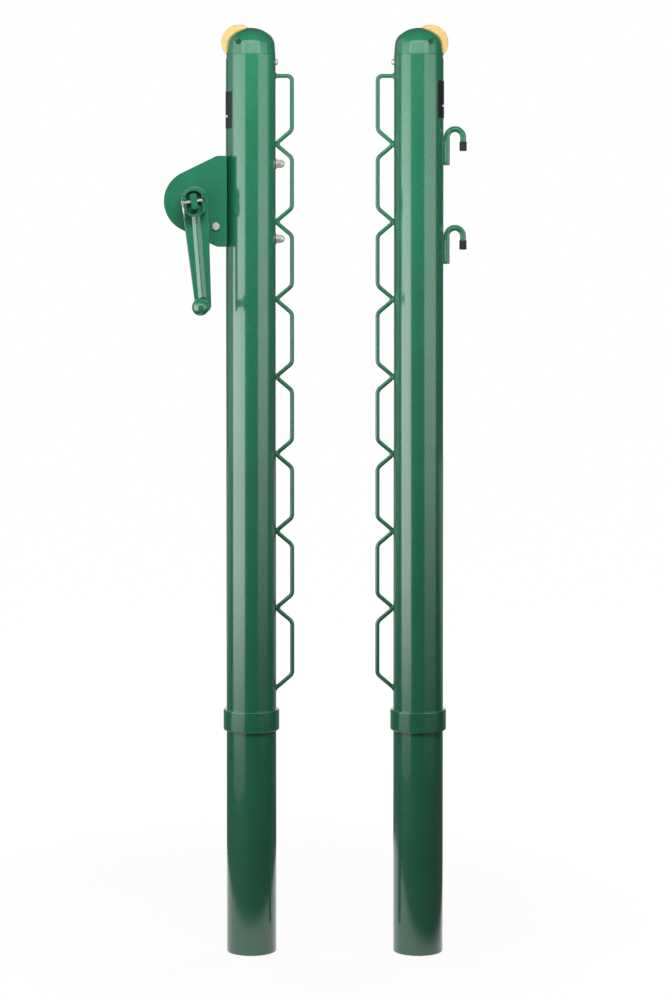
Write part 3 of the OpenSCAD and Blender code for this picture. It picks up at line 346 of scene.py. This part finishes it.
def bent_path(corners, bends, step=math.radians(6)):
    """Points along straight runs with a round bend at each inner corner."""
    path = [corners[0]]
    for i, radius in enumerate(bends, start=1):
        u = (corners[i] - corners[i - 1]).normalized()
        v = (corners[i + 1] - corners[i]).normalized()
        turn = u.angle(v)
        tangent = radius * math.tan(turn / 2)
        axis = u.cross(v).normalized()
        centre = corners[i] - u * tangent + axis.cross(u) * radius
        arm = corners[i] - u * tangent - centre
        count = max(2, math.ceil(turn / step))
        path += [centre + Matrix.Rotation(turn * k / count, 3, axis) @ arm
                 for k in range(count + 1)]
    return path + [corners[-1]]


def round_wire(path, radius, sides, up):
    """Points and faces of a closed round wire along a path; up keeps the rings from twisting."""
    points, faces = [], []
    last = len(path) - 1
    for i, centre in enumerate(path):
        along = (path[min(i + 1, last)] - path[max(i - 1, 0)]).normalized()
        across = along.cross(up).normalized()
        second = along.cross(across)
        for k in range(sides):
            a = 2 * math.pi * k / sides
            points.append(centre + radius * (across * math.cos(a) + second * math.sin(a)))
    for i in range(last):
        for k in range(sides):
            a, b = i * sides + k, i * sides + (k + 1) % sides
            faces.append((a, b, b + sides, a + sides))
    faces.append(tuple(reversed(range(sides))))
    faces.append(tuple(range(last * sides, (last + 1) * sides)))
    return points, faces


def post_side(post):
    """The tube's axis and the direction of its net side along X, and the tube's radius."""
    low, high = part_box(post + "_tube")
    middle = (low.x + high.x) / 2
    return middle, (1 if post == "winch_post" else -1), (high.x - low.x) / 2


def weld_heights():
    """Heights of the welds between the loops, from the top down."""
    rod = settings("rod")
    pitch = (rod.top - rod.bottom - rod.first_loop - rod.last_loop) / (rod.loops - 2)
    return [rod.top - rod.first_loop - i * pitch for i in range(rod.loops - 1)]


def round_edges(obj, width_mm):
    """Joins a node's split edges, rounds its hard edges and shades it smooth."""
    weld = obj.modifiers.new("joined", "WELD")
    weld.merge_threshold = SAME_POINT
    if width_mm:
        clamp = obj.name not in UNCLAMPED
        cast = obj.name == "crank_arm"
        if clamp:
            flat = obj.modifiers.new("flat", "DECIMATE")
            flat.decimate_type = "DISSOLVE"
            flat.angle_limit = FLAT_ANGLE
        if cast:
            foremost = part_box("crank_arm")[0].y
            mark = obj.modifiers.new("marked", "NODES")
            mark.node_group = marker_group(
                {foremost + back: share for back, share in CRANK_FACES.items()})
        bevel = obj.modifiers.new("rounded", "BEVEL")
        bevel.width = width_mm * MM
        bevel.segments = 2
        bevel.limit_method = "WEIGHT" if cast else "ANGLE"
        bevel.angle_limit = ROUNDED_ANGLE
        bevel.use_clamp_overlap = clamp
    smooth = obj.modifiers.new("smooth", "NODES")
    smooth.node_group = smooth_group()
    obj.modifiers.new("even", "WEIGHTED_NORMAL").keep_sharp = True


def marker_group(planes):
    """A group that gives outward edges on planes across Y a bevel weight, and all others none."""
    group, start, end = mesh_group("marked_edges")
    nodes, links = group.nodes, group.links
    place = nodes.new("GeometryNodeInputPosition")
    split = nodes.new("ShaderNodeSeparateXYZ")
    links.new(place.outputs[0], split.inputs[0])
    weight = None
    for y, share in planes.items():
        away = reckon(group, "ABSOLUTE", reckon(group, "SUBTRACT", split.outputs["Y"], y))
        on_plane = reckon(group, "MULTIPLY", reckon(group, "LESS_THAN", away, ON_PLANE), share)
        weight = on_plane if weight is None else reckon(group, "ADD", weight, on_plane)
    angle = nodes.new("GeometryNodeInputMeshEdgeAngle")
    outward = reckon(group, "GREATER_THAN", angle.outputs["Signed Angle"], ROUNDED_ANGLE)
    store = nodes.new("GeometryNodeStoreNamedAttribute")
    store.data_type = "FLOAT"
    store.domain = "EDGE"
    store.inputs["Name"].default_value = "bevel_weight_edge"
    links.new(start.outputs[0], store.inputs["Geometry"])
    links.new(reckon(group, "MULTIPLY", weight, outward), store.inputs["Value"])
    links.new(store.outputs["Geometry"], end.inputs[0])
    return group


def smooth_group():
    """A group that shades faces smooth and keeps only the sharp edges hard, made once."""
    name = "smooth_by_angle"
    if name in bpy.data.node_groups:
        return bpy.data.node_groups[name]
    group, start, end = mesh_group(name)
    nodes, links = group.nodes, group.links
    faces = nodes.new("GeometryNodeSetShadeSmooth")
    edges = nodes.new("GeometryNodeSetShadeSmooth")
    edges.domain = "EDGE"
    edges.inputs["Shade Smooth"].default_value = False
    angle = nodes.new("GeometryNodeInputMeshEdgeAngle")
    sharp = nodes.new("FunctionNodeCompare")
    sharp.operation = "GREATER_THAN"
    sharp.inputs[1].default_value = HARD_ANGLE
    links.new(start.outputs[0], faces.inputs["Geometry"])
    links.new(faces.outputs["Geometry"], edges.inputs["Geometry"])
    links.new(angle.outputs["Unsigned Angle"], sharp.inputs[0])
    links.new(sharp.outputs["Result"], edges.inputs["Selection"])
    links.new(edges.outputs["Geometry"], end.inputs[0])
    return group


# Materials

class Finish:
    """A node-based material on a Principled shader."""

    def __init__(self, name):
        self.material = bpy.data.materials.new(name)
        self.material.use_nodes = True
        self.tree = self.material.node_tree
        self.shader = self.tree.nodes["Principled BSDF"]
        self.place = self.tree.nodes.new("ShaderNodeTexCoord").outputs["Object"]

    def set(self, **values):
        for name, value in values.items():
            self.shader.inputs[name.replace("_", " ")].default_value = value
        return self

    def link(self, output, socket):
        self.tree.links.new(output, socket)

    def noise(self, scale, detail=2.0, roughness=0.5, stretch=None):
        """An even noise in metres, stretched along an axis where asked."""
        node = self.tree.nodes.new("ShaderNodeTexNoise")
        node.inputs["Scale"].default_value = scale
        node.inputs["Detail"].default_value = detail
        node.inputs["Roughness"].default_value = roughness
        place = self.place
        if stretch:
            mapping = self.tree.nodes.new("ShaderNodeMapping")
            mapping.inputs["Scale"].default_value = stretch
            self.link(place, mapping.inputs["Vector"])
            place = mapping.outputs["Vector"]
        self.link(place, node.inputs["Vector"])
        return node.outputs["Fac"]

    def ramp(self, value, low, high, to_low=0.0, to_high=1.0):
        """A value carried from one range to another."""
        return spread(self.tree, value, low, high, to_low, to_high)

    def mix(self, factor, first, second):
        """A blend of two colours."""
        node = self.tree.nodes.new("ShaderNodeMix")
        node.data_type = "RGBA"
        self.link(factor, node.inputs["Factor"])
        for socket, colour in ((node.inputs[6], first), (node.inputs[7], second)):
            if hasattr(colour, "is_output"):
                self.link(colour, socket)
            else:
                socket.default_value = (*colour[:3], 1)
        return node.outputs[2]

    def math(self, operation, first, second=None):
        return reckon(self.tree, operation, first, second)

    def bump(self, height, distance, strength=1.0):
        """Fine relief, its depth in metres."""
        node = self.tree.nodes.new("ShaderNodeBump")
        node.inputs["Distance"].default_value = distance
        node.inputs["Strength"].default_value = strength
        self.link(height, node.inputs["Height"])
        self.link(node.outputs["Normal"], self.shader.inputs["Normal"])

    def colour(self, output):
        self.link(output, self.shader.inputs["Base Color"])

    def roughness(self, output):
        self.link(output, self.shader.inputs["Roughness"])


def powder_coat():
    """Glossy green powder coat: an uneven film with fine orange peel."""
    coat = settings("coat")
    f = Finish("green_powder_coat").set(IOR=1.5, Coat_Weight=1.0, Coat_Roughness=0.07, Coat_IOR=1.7)
    film = f.noise(9, detail=3)
    f.colour(f.mix(f.ramp(film, 0.35, 0.65), coat.shade, coat.colour))
    f.roughness(f.ramp(f.noise(60, detail=2), 0.3, 0.7, 0.20, 0.30))
    f.bump(f.noise(330, detail=1), coat.peel)
    return f.material


def coat_with_recess_shade():
    """Thin green coat on the sunk ends of the pulleys' axles, darkened with painted shade of their
    recess in the caps.
    """
    f = Finish("green_coat_with_recess_shade").set(IOR=1.5)
    f.colour(f.mix(f.ramp(f.noise(300, detail=2), 0.35, 0.65), *COAT_AND_RECESS_SHADE_TONES))
    f.roughness(f.ramp(f.noise(300, detail=2), 0.3, 0.7, 0.35, 0.5))
    return f.material


def bright_plate():
    """Zinc plating, slightly clouded."""
    f = Finish("bright_plating").set(Metallic=0.7)
    tone = settings("steel").bright
    f.colour(f.mix(f.ramp(f.noise(160, detail=3), 0.35, 0.65), [c * 0.86 for c in tone], tone))
    f.roughness(f.ramp(f.noise(420, detail=2), 0.3, 0.7, 0.28, 0.42))
    f.bump(f.noise(900, detail=1), 0.000012)
    return f.material


def machined_steel():
    """Oiled bare steel with the marks of turning."""
    f = Finish("machined_steel").set(Metallic=1.0)
    tone = settings("steel").machined
    turned = f.noise(90, detail=4, roughness=0.7, stretch=(1, 14, 1))
    f.colour(f.mix(f.ramp(turned, 0.3, 0.7), [c * 0.7 for c in tone], tone))
    f.roughness(f.ramp(turned, 0.3, 0.7, 0.32, 0.46))
    f.bump(turned, 0.00002)
    return f.material


def pulley_brass():
    """Pale brass with fine turning marks."""
    f = Finish("pale_brass").set(Metallic=0.6)
    tone = settings("steel").brass
    turned = f.noise(140, detail=3, roughness=0.6, stretch=(1, 5, 1))
    f.colour(f.mix(f.ramp(turned, 0.3, 0.7), [c * 0.93 for c in tone], tone))
    f.roughness(f.ramp(turned, 0.3, 0.7, 0.42, 0.55))
    f.bump(turned, 0.00001)
    return f.material


def bush_bronze():
    """Bronze with the pores of a sintered bush."""
    f = Finish("sintered_bronze").set(Metallic=1.0)
    tone = settings("steel").bronze
    pores = f.noise(1500, detail=3, roughness=0.7)
    f.colour(f.mix(f.ramp(pores, 0.42, 0.6), [c * 0.55 for c in tone], tone))
    f.roughness(f.ramp(pores, 0.35, 0.65, 0.50, 0.36))
    f.bump(pores, 0.00003)
    return f.material


def tip_rubber():
    """Matt black rubber with a fine grain."""
    f = Finish("black_rubber").set(IOR=1.5)
    grain = f.noise(700, detail=4, roughness=0.7)
    f.colour(f.mix(f.ramp(grain, 0.35, 0.7), *RUBBER_TONES))
    f.roughness(f.ramp(grain, 0.3, 0.7, 0.42, 0.58))
    f.bump(grain, 0.00004)
    return f.material


def label_vinyl(node):
    """Black vinyl with one plain pale stripe."""
    low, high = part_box(node)
    centre = (low + high) / 2
    f = Finish(node + "_vinyl").set(IOR=1.5)
    place = f.tree.nodes.new("ShaderNodeSeparateXYZ")
    f.link(f.place, place.inputs[0])
    across = f.math("ABSOLUTE", f.math("SUBTRACT", place.outputs["Y"], centre.y))
    rise = f.math("SUBTRACT", place.outputs["Z"], centre.z)
    off_stripe = f.math("ABSOLUTE", f.math("ADD", rise, STRIPE_DROP))
    stripe = f.math("MULTIPLY",
                    f.math("LESS_THAN", off_stripe, STRIPE_HALF),
                    f.math("LESS_THAN", across, STRIPE_REACH))
    grain = f.noise(240, detail=2)
    black = f.mix(f.ramp(grain, 0.3, 0.7), *VINYL_TONES)
    f.colour(f.mix(stripe, black, STRIPE_TONE))
    f.roughness(f.ramp(grain, 0.3, 0.7, 0.26, 0.34))
    f.bump(grain, 0.00001)
    return f.material


def wear(material_name, maker):
    """The named material, made once."""
    return bpy.data.materials.get(material_name) or maker()


def dress(nodes, material):
    """Gives nodes of the frame a material and rounds their edges."""
    for name, width in nodes.items():
        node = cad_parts.get(name)
        if node is None:
            raise RuntimeError("the frame has no node named " + name)
        node.data.materials.clear()
        node.data.materials.append(material)
        round_edges(node, width)


# Operators, one for each group of like pieces

class NETPOST_OT_coated(bpy.types.Operator):
    """Give the tubes, caps, plates, crank and hooks their green powder coat"""
    bl_idname = "netpost.coated"
    bl_label = "Coated steel"

    def execute(self, context):
        dress(COATED, wear("green_powder_coat", powder_coat))
        # The axles get a green coat darkened with painted shade of their recess in the caps
        dress(AXLES, wear("green_coat_with_recess_shade", coat_with_recess_shade))
        return {"FINISHED"}


class NETPOST_OT_bright(bpy.types.Operator):
    """Give the screws, bolts, nuts, pin and ring their bright plating"""
    bl_idname = "netpost.bright"
    bl_label = "Bright fixings"

    def execute(self, context):
        dress(BRIGHT, wear("bright_plating", bright_plate))
        return {"FINISHED"}


class NETPOST_OT_works(bpy.types.Operator):
    """Give the winch's drum, ratchet and pawl bare steel, and its bushes bronze"""
    bl_idname = "netpost.works"
    bl_label = "Winch works"

    def execute(self, context):
        dress(MACHINED, wear("machined_steel", machined_steel))
        dress(BUSHES, wear("sintered_bronze", bush_bronze))
        return {"FINISHED"}


class NETPOST_OT_pulleys(bpy.types.Operator):
    """Give both pulleys their pale polished brass"""
    bl_idname = "netpost.pulleys"
    bl_label = "Pulleys"

    def execute(self, context):
        dress(PULLEYS, wear("pale_brass", pulley_brass))
        return {"FINISHED"}


class NETPOST_OT_rods(bpy.types.Operator):
    """Bend a smooth lacing rod for each post"""
    bl_idname = "netpost.rods"
    bl_label = "Lacing rods"

    def execute(self, context):
        rod = settings("rod")
        radius = rod.thickness / 2
        for post in POSTS:
            axis_x, side, tube_r = post_side(post)
            seat = tube_r + WELD_SEAT
            near, far = seat + radius, tube_r + rod.reach
            corners, bends = [(seat, rod.top), (far, rod.top)], [rod.top_bend]
            for z in weld_heights():
                corners += [(far, z + rod.corner_rise), (near, z + rod.weld_half),
                            (near, z - rod.weld_half), (far, z - rod.corner_rise)]
                bends += [rod.outer_bend, rod.inner_bend, rod.inner_bend, rod.outer_bend]
            corners += [(far, rod.bottom + rod.corner_rise), (seat, rod.bottom)]
            bends.append(rod.outer_bend)
            path = bent_path([Vector((axis_x + side * x, 0, z)) for x, z in corners], bends)
            wire = round_wire(path, radius, ROD_SIDES, Vector((0, 1, 0)))
            piece = new_piece(post + "_smooth_rod", *wire)
            piece.data.materials.append(wear("green_powder_coat", powder_coat))
            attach(piece, "root")
            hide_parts(post + "_lacing_rod")
        return {"FINISHED"}


class NETPOST_OT_welds(bpy.types.Operator):
    """Lay a lumpy coated weld where the lacing rod meets the tube"""
    bl_idname = "netpost.welds"
    bl_label = "Welds"

    def execute(self, context):
        rod = settings("rod")
        for post in POSTS:
            axis_x, side, tube_r = post_side(post)
            seat = tube_r + WELD_SEAT
            points, faces = [], []
            spots = [(seat + LOOP_WELD_REACH, z, LOOP_WELD) for z in weld_heights()]
            spots += [(seat + END_WELD_REACH, rod.top, TOP_WELD),
                      (seat + END_WELD_REACH, rod.bottom, FOOT_WELD)]
            for x, z, radii in spots:
                self.add_lump(points, faces, Vector((axis_x + side * x, 0, z)), radii)
            piece = new_piece(post + "_welds", points, faces)
            piece.data.materials.append(wear("green_powder_coat", powder_coat))
            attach(piece, "root")
            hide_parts(post + "_weld_beads")
        return {"FINISHED"}

    def add_lump(self, points, faces, centre, radii):
        """A closed lump with the ripples of a weld run."""
        rings, sides = 14, 22
        first = len(points)
        for i in range(1, rings):
            tilt = math.pi * i / rings
            for k in range(sides):
                turn = 2 * math.pi * k / sides
                way = Vector((math.sin(tilt) * math.cos(turn), math.sin(tilt) * math.sin(turn),
                              math.cos(tilt)))
                spot = Vector([way[j] * radii[j] for j in range(3)])
                lump = (1 + RIPPLE_DEPTH * math.sin(way.z * RIPPLE_PITCH)
                        + GRAIN_DEPTH * noise.noise((centre + spot) * GRAIN_PITCH))
                points.append(centre + spot * lump)
        top, bottom = len(points), len(points) + 1
        points += [centre + Vector((0, 0, radii[2])), centre - Vector((0, 0, radii[2]))]
        for i in range(rings - 2):
            for k in range(sides):
                a, b = first + i * sides + k, first + i * sides + (k + 1) % sides
                faces.append((a, a + sides, b + sides, b))
        for k in range(sides):
            faces.append((top, first + k, first + (k + 1) % sides))
            foot = first + (rings - 2) * sides
            faces.append((bottom, foot + (k + 1) % sides, foot + k))


class NETPOST_OT_labels(bpy.types.Operator):
    """Print a plain generic design on the two black labels"""
    bl_idname = "netpost.labels"
    bl_label = "Labels"

    def execute(self, context):
        for post in POSTS:
            name = post + "_label"
            dress({name: 0}, label_vinyl(name))
        return {"FINISHED"}


class NETPOST_OT_tips(bpy.types.Operator):
    """Give the hook tips their black rubber"""
    bl_idname = "netpost.tips"
    bl_label = "Hook tips"

    def execute(self, context):
        dress(TIPS, wear("black_rubber", tip_rubber))
        return {"FINISHED"}


class NETPOST_OT_spring(bpy.types.Operator):
    """Wind the pawl's torsion spring"""
    bl_idname = "netpost.spring"
    bl_label = "Pawl spring"

    def execute(self, context):
        spring = settings("spring")
        low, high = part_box("pawl_bolt")
        centre = (low + high) / 2
        lowest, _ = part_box("pawl_spring")
        first_y = lowest.y + spring.wire / 2
        coil = []
        for i in range(spring.turns * COIL_STEPS + 1):
            a = math.radians(COIL_START - i * 360 / COIL_STEPS)
            coil.append(Vector((centre.x + spring.radius * math.cos(a),
                                first_y + spring.pitch * i / COIL_STEPS,
                                centre.z + spring.radius * math.sin(a))))
        path = [coil[0] + Vector((-spring.leg, 0, -PAWL_LEG_DROP)), *coil,
                coil[-1] + Vector((FIXED_LEG, 0, 0))]
        wire = round_wire(path, spring.wire / 2, SPRING_SIDES, Vector((0, 1, 0)))
        piece = new_piece("pawl_coil", *wire)
        piece.data.materials.append(wear("bright_plating", bright_plate))
        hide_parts("pawl_spring")
        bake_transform(piece)
        return {"FINISHED"}


class NETPOST_OT_stage(bpy.types.Operator):
    """Set the camera, the pale floor and the soft studio lights"""
    bl_idname = "netpost.stage"
    bl_label = "Studio"

    def execute(self, context):
        self.set_camera()
        self.lay_floor()
        self.hang_lamps()
        self.light_room()
        bpy.context.scene.view_settings.view_transform = "Standard"
        return {"FINISHED"}

    def set_camera(self):
        stage = settings("stage")
        camera = bpy.data.cameras.new("camera")
        camera.lens = stage.lens
        camera.shift_y = stage.shift
        obj = bpy.data.objects.new("camera", camera)
        obj.location = (stage.side, -stage.distance, stage.height)
        obj.rotation_euler = (math.pi / 2 - stage.pitch, 0, 0)
        bpy.context.scene.collection.objects.link(obj)
        bpy.context.scene.camera = obj

    def lay_floor(self):
        rings, sides = 12, 64
        points = [Vector((FLOOR_X, 0, FLOOR_Z))]
        for i in range(1, rings + 1):
            r = FLOOR_REACH * (i / rings) ** 2
            points += [Vector((FLOOR_X + r * math.cos(a), r * math.sin(a), FLOOR_Z))
                       for a in [2 * math.pi * k / sides for k in range(sides)]]
        faces = [(0, 1 + k, 1 + (k + 1) % sides) for k in range(sides)]
        for i in range(rings - 1):
            for k in range(sides):
                a, b = 1 + i * sides + k, 1 + i * sides + (k + 1) % sides
                faces.append((a, a + sides, b + sides, b))
        floor = new_piece("floor", points, faces)
        floor.data.materials.append(self.floor_paper())

    def floor_paper(self):
        """White paper that keeps a faint shadow; reflections show only a sheet round the feet."""
        material = bpy.data.materials.new("floor_paper")
        material.use_nodes = True
        tree = material.node_tree
        tree.nodes.clear()
        path = tree.nodes.new("ShaderNodeLightPath")
        place = tree.nodes.new("ShaderNodeTexCoord")

        sheet = tree.nodes.new("ShaderNodeMapping")
        sheet.inputs["Location"].default_value = (0, -SHEET_Y / SHEET_RADII[1], 0)
        sheet.inputs["Scale"].default_value = (1 / SHEET_RADII[0], 1 / SHEET_RADII[1], 1)
        span = tree.nodes.new("ShaderNodeVectorMath")
        span.operation = "LENGTH"
        tree.links.new(place.outputs["Object"], sheet.inputs["Vector"])
        tree.links.new(sheet.outputs["Vector"], span.inputs[0])
        from_sheet = span.outputs["Value"]
        split = tree.nodes.new("ShaderNodeSeparateXYZ")
        tree.links.new(place.outputs["Object"], split.inputs[0])

        bright_sheet = fade(tree, from_sheet, start=0.82, end=1.14, low=0.75, high=0.03)
        behind = fade(tree, split.outputs["Y"], start=0.2, end=3.0, low=0.0, high=0.3)
        mirror_level = reckon(tree, "MAXIMUM", bright_sheet, behind)
        view_level = fade(tree, from_sheet, start=0.7, end=2.4, low=0.92, high=1.0)
        in_mirror = reckon(tree, "MULTIPLY", mirrored_ray(tree, path), mirror_level)
        in_view = reckon(tree, "MULTIPLY", path.outputs["Is Camera Ray"], view_level)

        paper = tree.nodes.new("ShaderNodeBsdfDiffuse")
        paper.inputs["Color"].default_value = FLOOR_TONE
        glow = tree.nodes.new("ShaderNodeEmission")
        glow.inputs["Color"].default_value = (1, 1, 1, 1)
        tree.links.new(reckon(tree, "MAXIMUM", in_mirror, in_view), glow.inputs["Strength"])
        both = tree.nodes.new("ShaderNodeAddShader")
        tree.links.new(paper.outputs[0], both.inputs[0])
        tree.links.new(glow.outputs[0], both.inputs[1])
        output = tree.nodes.new("ShaderNodeOutputMaterial")
        tree.links.new(both.outputs[0], output.inputs["Surface"])
        return material

    def add_lamp(self, name, power, azimuth, distance, low, high, width,
                 foot=EVEN_FOOT, crown=EVEN_CROWN):
        """A soft lamp, dimmed at its foot and crown.

        azimuth runs in degrees from the camera's side to the right.
        foot and crown each give the height, as a share of the lamp's, where its dimming starts, and
        how bright its end is.
        """
        a = math.radians(azimuth)
        place = Vector((LAMPS_X + distance * math.sin(a), -distance * math.cos(a),
                        (low + high) / 2))
        lamp = bpy.data.lights.new(name, "AREA")
        lamp.shape = "RECTANGLE"
        lamp.size = width
        lamp.size_y = high - low
        lamp.energy = power
        lamp.use_nodes = True
        tree = lamp.node_tree
        over = tree.nodes.new("ShaderNodeNewGeometry")
        split = tree.nodes.new("ShaderNodeSeparateXYZ")
        tree.links.new(over.outputs["Parametric"], split.inputs[0])
        up = split.outputs["Y"]
        level = reckon(tree, "MULTIPLY",
                       fade(tree, up, start=0.0, end=foot[0], low=foot[1], high=1.0),
                       fade(tree, up, start=1.0, end=crown[0], low=crown[1], high=1.0))
        tree.links.new(level, tree.nodes["Emission"].inputs["Strength"])
        obj = bpy.data.objects.new(lamp.name, lamp)
        obj.location = place
        self.aim_lamp(obj, place.z)
        bpy.context.scene.collection.objects.link(obj)
        return obj

    def aim_lamp(self, lamp, height):
        """Turns a lamp to the posts at a height."""
        aim = Vector((LAMPS_X, 0, height)) - lamp.location
        lamp.rotation_euler = aim.to_track_quat("-Z", "Y").to_euler()

    def hang_lamps(self):
        stage = settings("stage")
        self.add_lamp("left_lamp", stage.left_lamp, azimuth=-60, distance=1.1,
                      low=0.04, high=1.9, width=1.2, foot=(0.26, 0.1), crown=(0.42, 0.1))
        self.add_lamp("right_lamp", stage.right_lamp, azimuth=57, distance=1.35,
                      low=0.04, high=1.9, width=1.4, foot=(0.48, 0.05), crown=(0.6, 0.3))
        top = self.add_lamp("top_lamp", stage.top_lamp, azimuth=0, distance=0.9,
                            low=1.5, high=1.95, width=0.7)
        self.aim_lamp(top, TOP_AIM)
        top.visible_glossy = False
        self.add_lamp("front_lamp", stage.front_lamp, azimuth=0, distance=1.3,
                      low=1.62, high=2.3, width=2.6, crown=(0.7, 2.5))
        for azimuth in (-140, 140):
            back = self.add_lamp("back_lamp", stage.back_lamps, azimuth=azimuth, distance=1.6,
                                 low=0.3, high=2.2, width=1.2)
            back.visible_glossy = False

    def light_room(self):
        """A white backdrop behind the posts, a pale wall on their left, white for the camera."""
        world = bpy.data.worlds.new("room")
        bpy.context.scene.world = world
        world.use_nodes = True
        tree = world.node_tree
        sky = tree.nodes["Background"]
        sky.inputs["Color"].default_value = (1, 1, 1, 1)

        def switch(factor, off, on):
            new = tree.nodes.new("ShaderNodeMix")
            tree.links.new(factor, new.inputs["Factor"])
            plug(tree, off, new.inputs["A"])
            plug(tree, on, new.inputs["B"])
            return new.outputs["Result"]

        place = tree.nodes.new("ShaderNodeTexCoord")
        split = tree.nodes.new("ShaderNodeSeparateXYZ")
        path = tree.nodes.new("ShaderNodeLightPath")
        tree.links.new(place.outputs["Generated"], split.inputs[0])
        backdrop = fade(tree, split.outputs["Y"], start=0.86, end=0.97, low=0.0, high=1.0)
        left_wall = fade(tree, split.outputs["X"], start=-0.60, end=-0.90, low=0.06, high=0.40)
        walls = reckon(tree, "MAXIMUM", backdrop, left_wall)
        level = switch(mirrored_ray(tree, path), settings("stage").room, walls)
        tree.links.new(switch(path.outputs["Is Camera Ray"], level, 1.0), sky.inputs["Strength"])


OPERATORS = (
    NETPOST_OT_coated, NETPOST_OT_bright, NETPOST_OT_works, NETPOST_OT_pulleys,
    NETPOST_OT_rods, NETPOST_OT_welds, NETPOST_OT_labels, NETPOST_OT_tips,
    NETPOST_OT_spring, NETPOST_OT_stage,
)
GROUPS = {
    "coat": CoatSettings, "steel": SteelSettings, "rod": RodSettings,
    "spring": SpringSettings, "stage": StageSettings,
}


class NETPOST_PT_panel(bpy.types.Panel):
    """Sizes, colours and steps of the net posts"""
    bl_idname = "NETPOST_PT_panel"
    bl_label = "Net posts"
    bl_space_type = "VIEW_3D"
    bl_region_type = "UI"
    bl_category = "Net posts"

    def draw(self, context):
        for name, group in GROUPS.items():
            box = self.layout.box()
            box.label(text=group.__doc__)
            for field in group.__annotations__:
                box.prop(settings(name), field)
        for operator in OPERATORS:
            self.layout.operator(operator.bl_idname)


def register():
    for cls in (*GROUPS.values(), *OPERATORS, NETPOST_PT_panel):
        bpy.utils.register_class(cls)
    for name, group in GROUPS.items():
        setattr(bpy.types.Scene, "netpost_" + name, PointerProperty(type=group))


def unregister():
    for name in GROUPS:
        delattr(bpy.types.Scene, "netpost_" + name)
    for cls in reversed((*GROUPS.values(), *OPERATORS, NETPOST_PT_panel)):
        bpy.utils.unregister_class(cls)


def main():
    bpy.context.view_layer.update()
    register()
    bpy.ops.netpost.stage()
    for operator in OPERATORS[:-1]:
        group, step = operator.bl_idname.split(".")
        getattr(getattr(bpy.ops, group), step)()


if __name__ == "__main__":
    main()
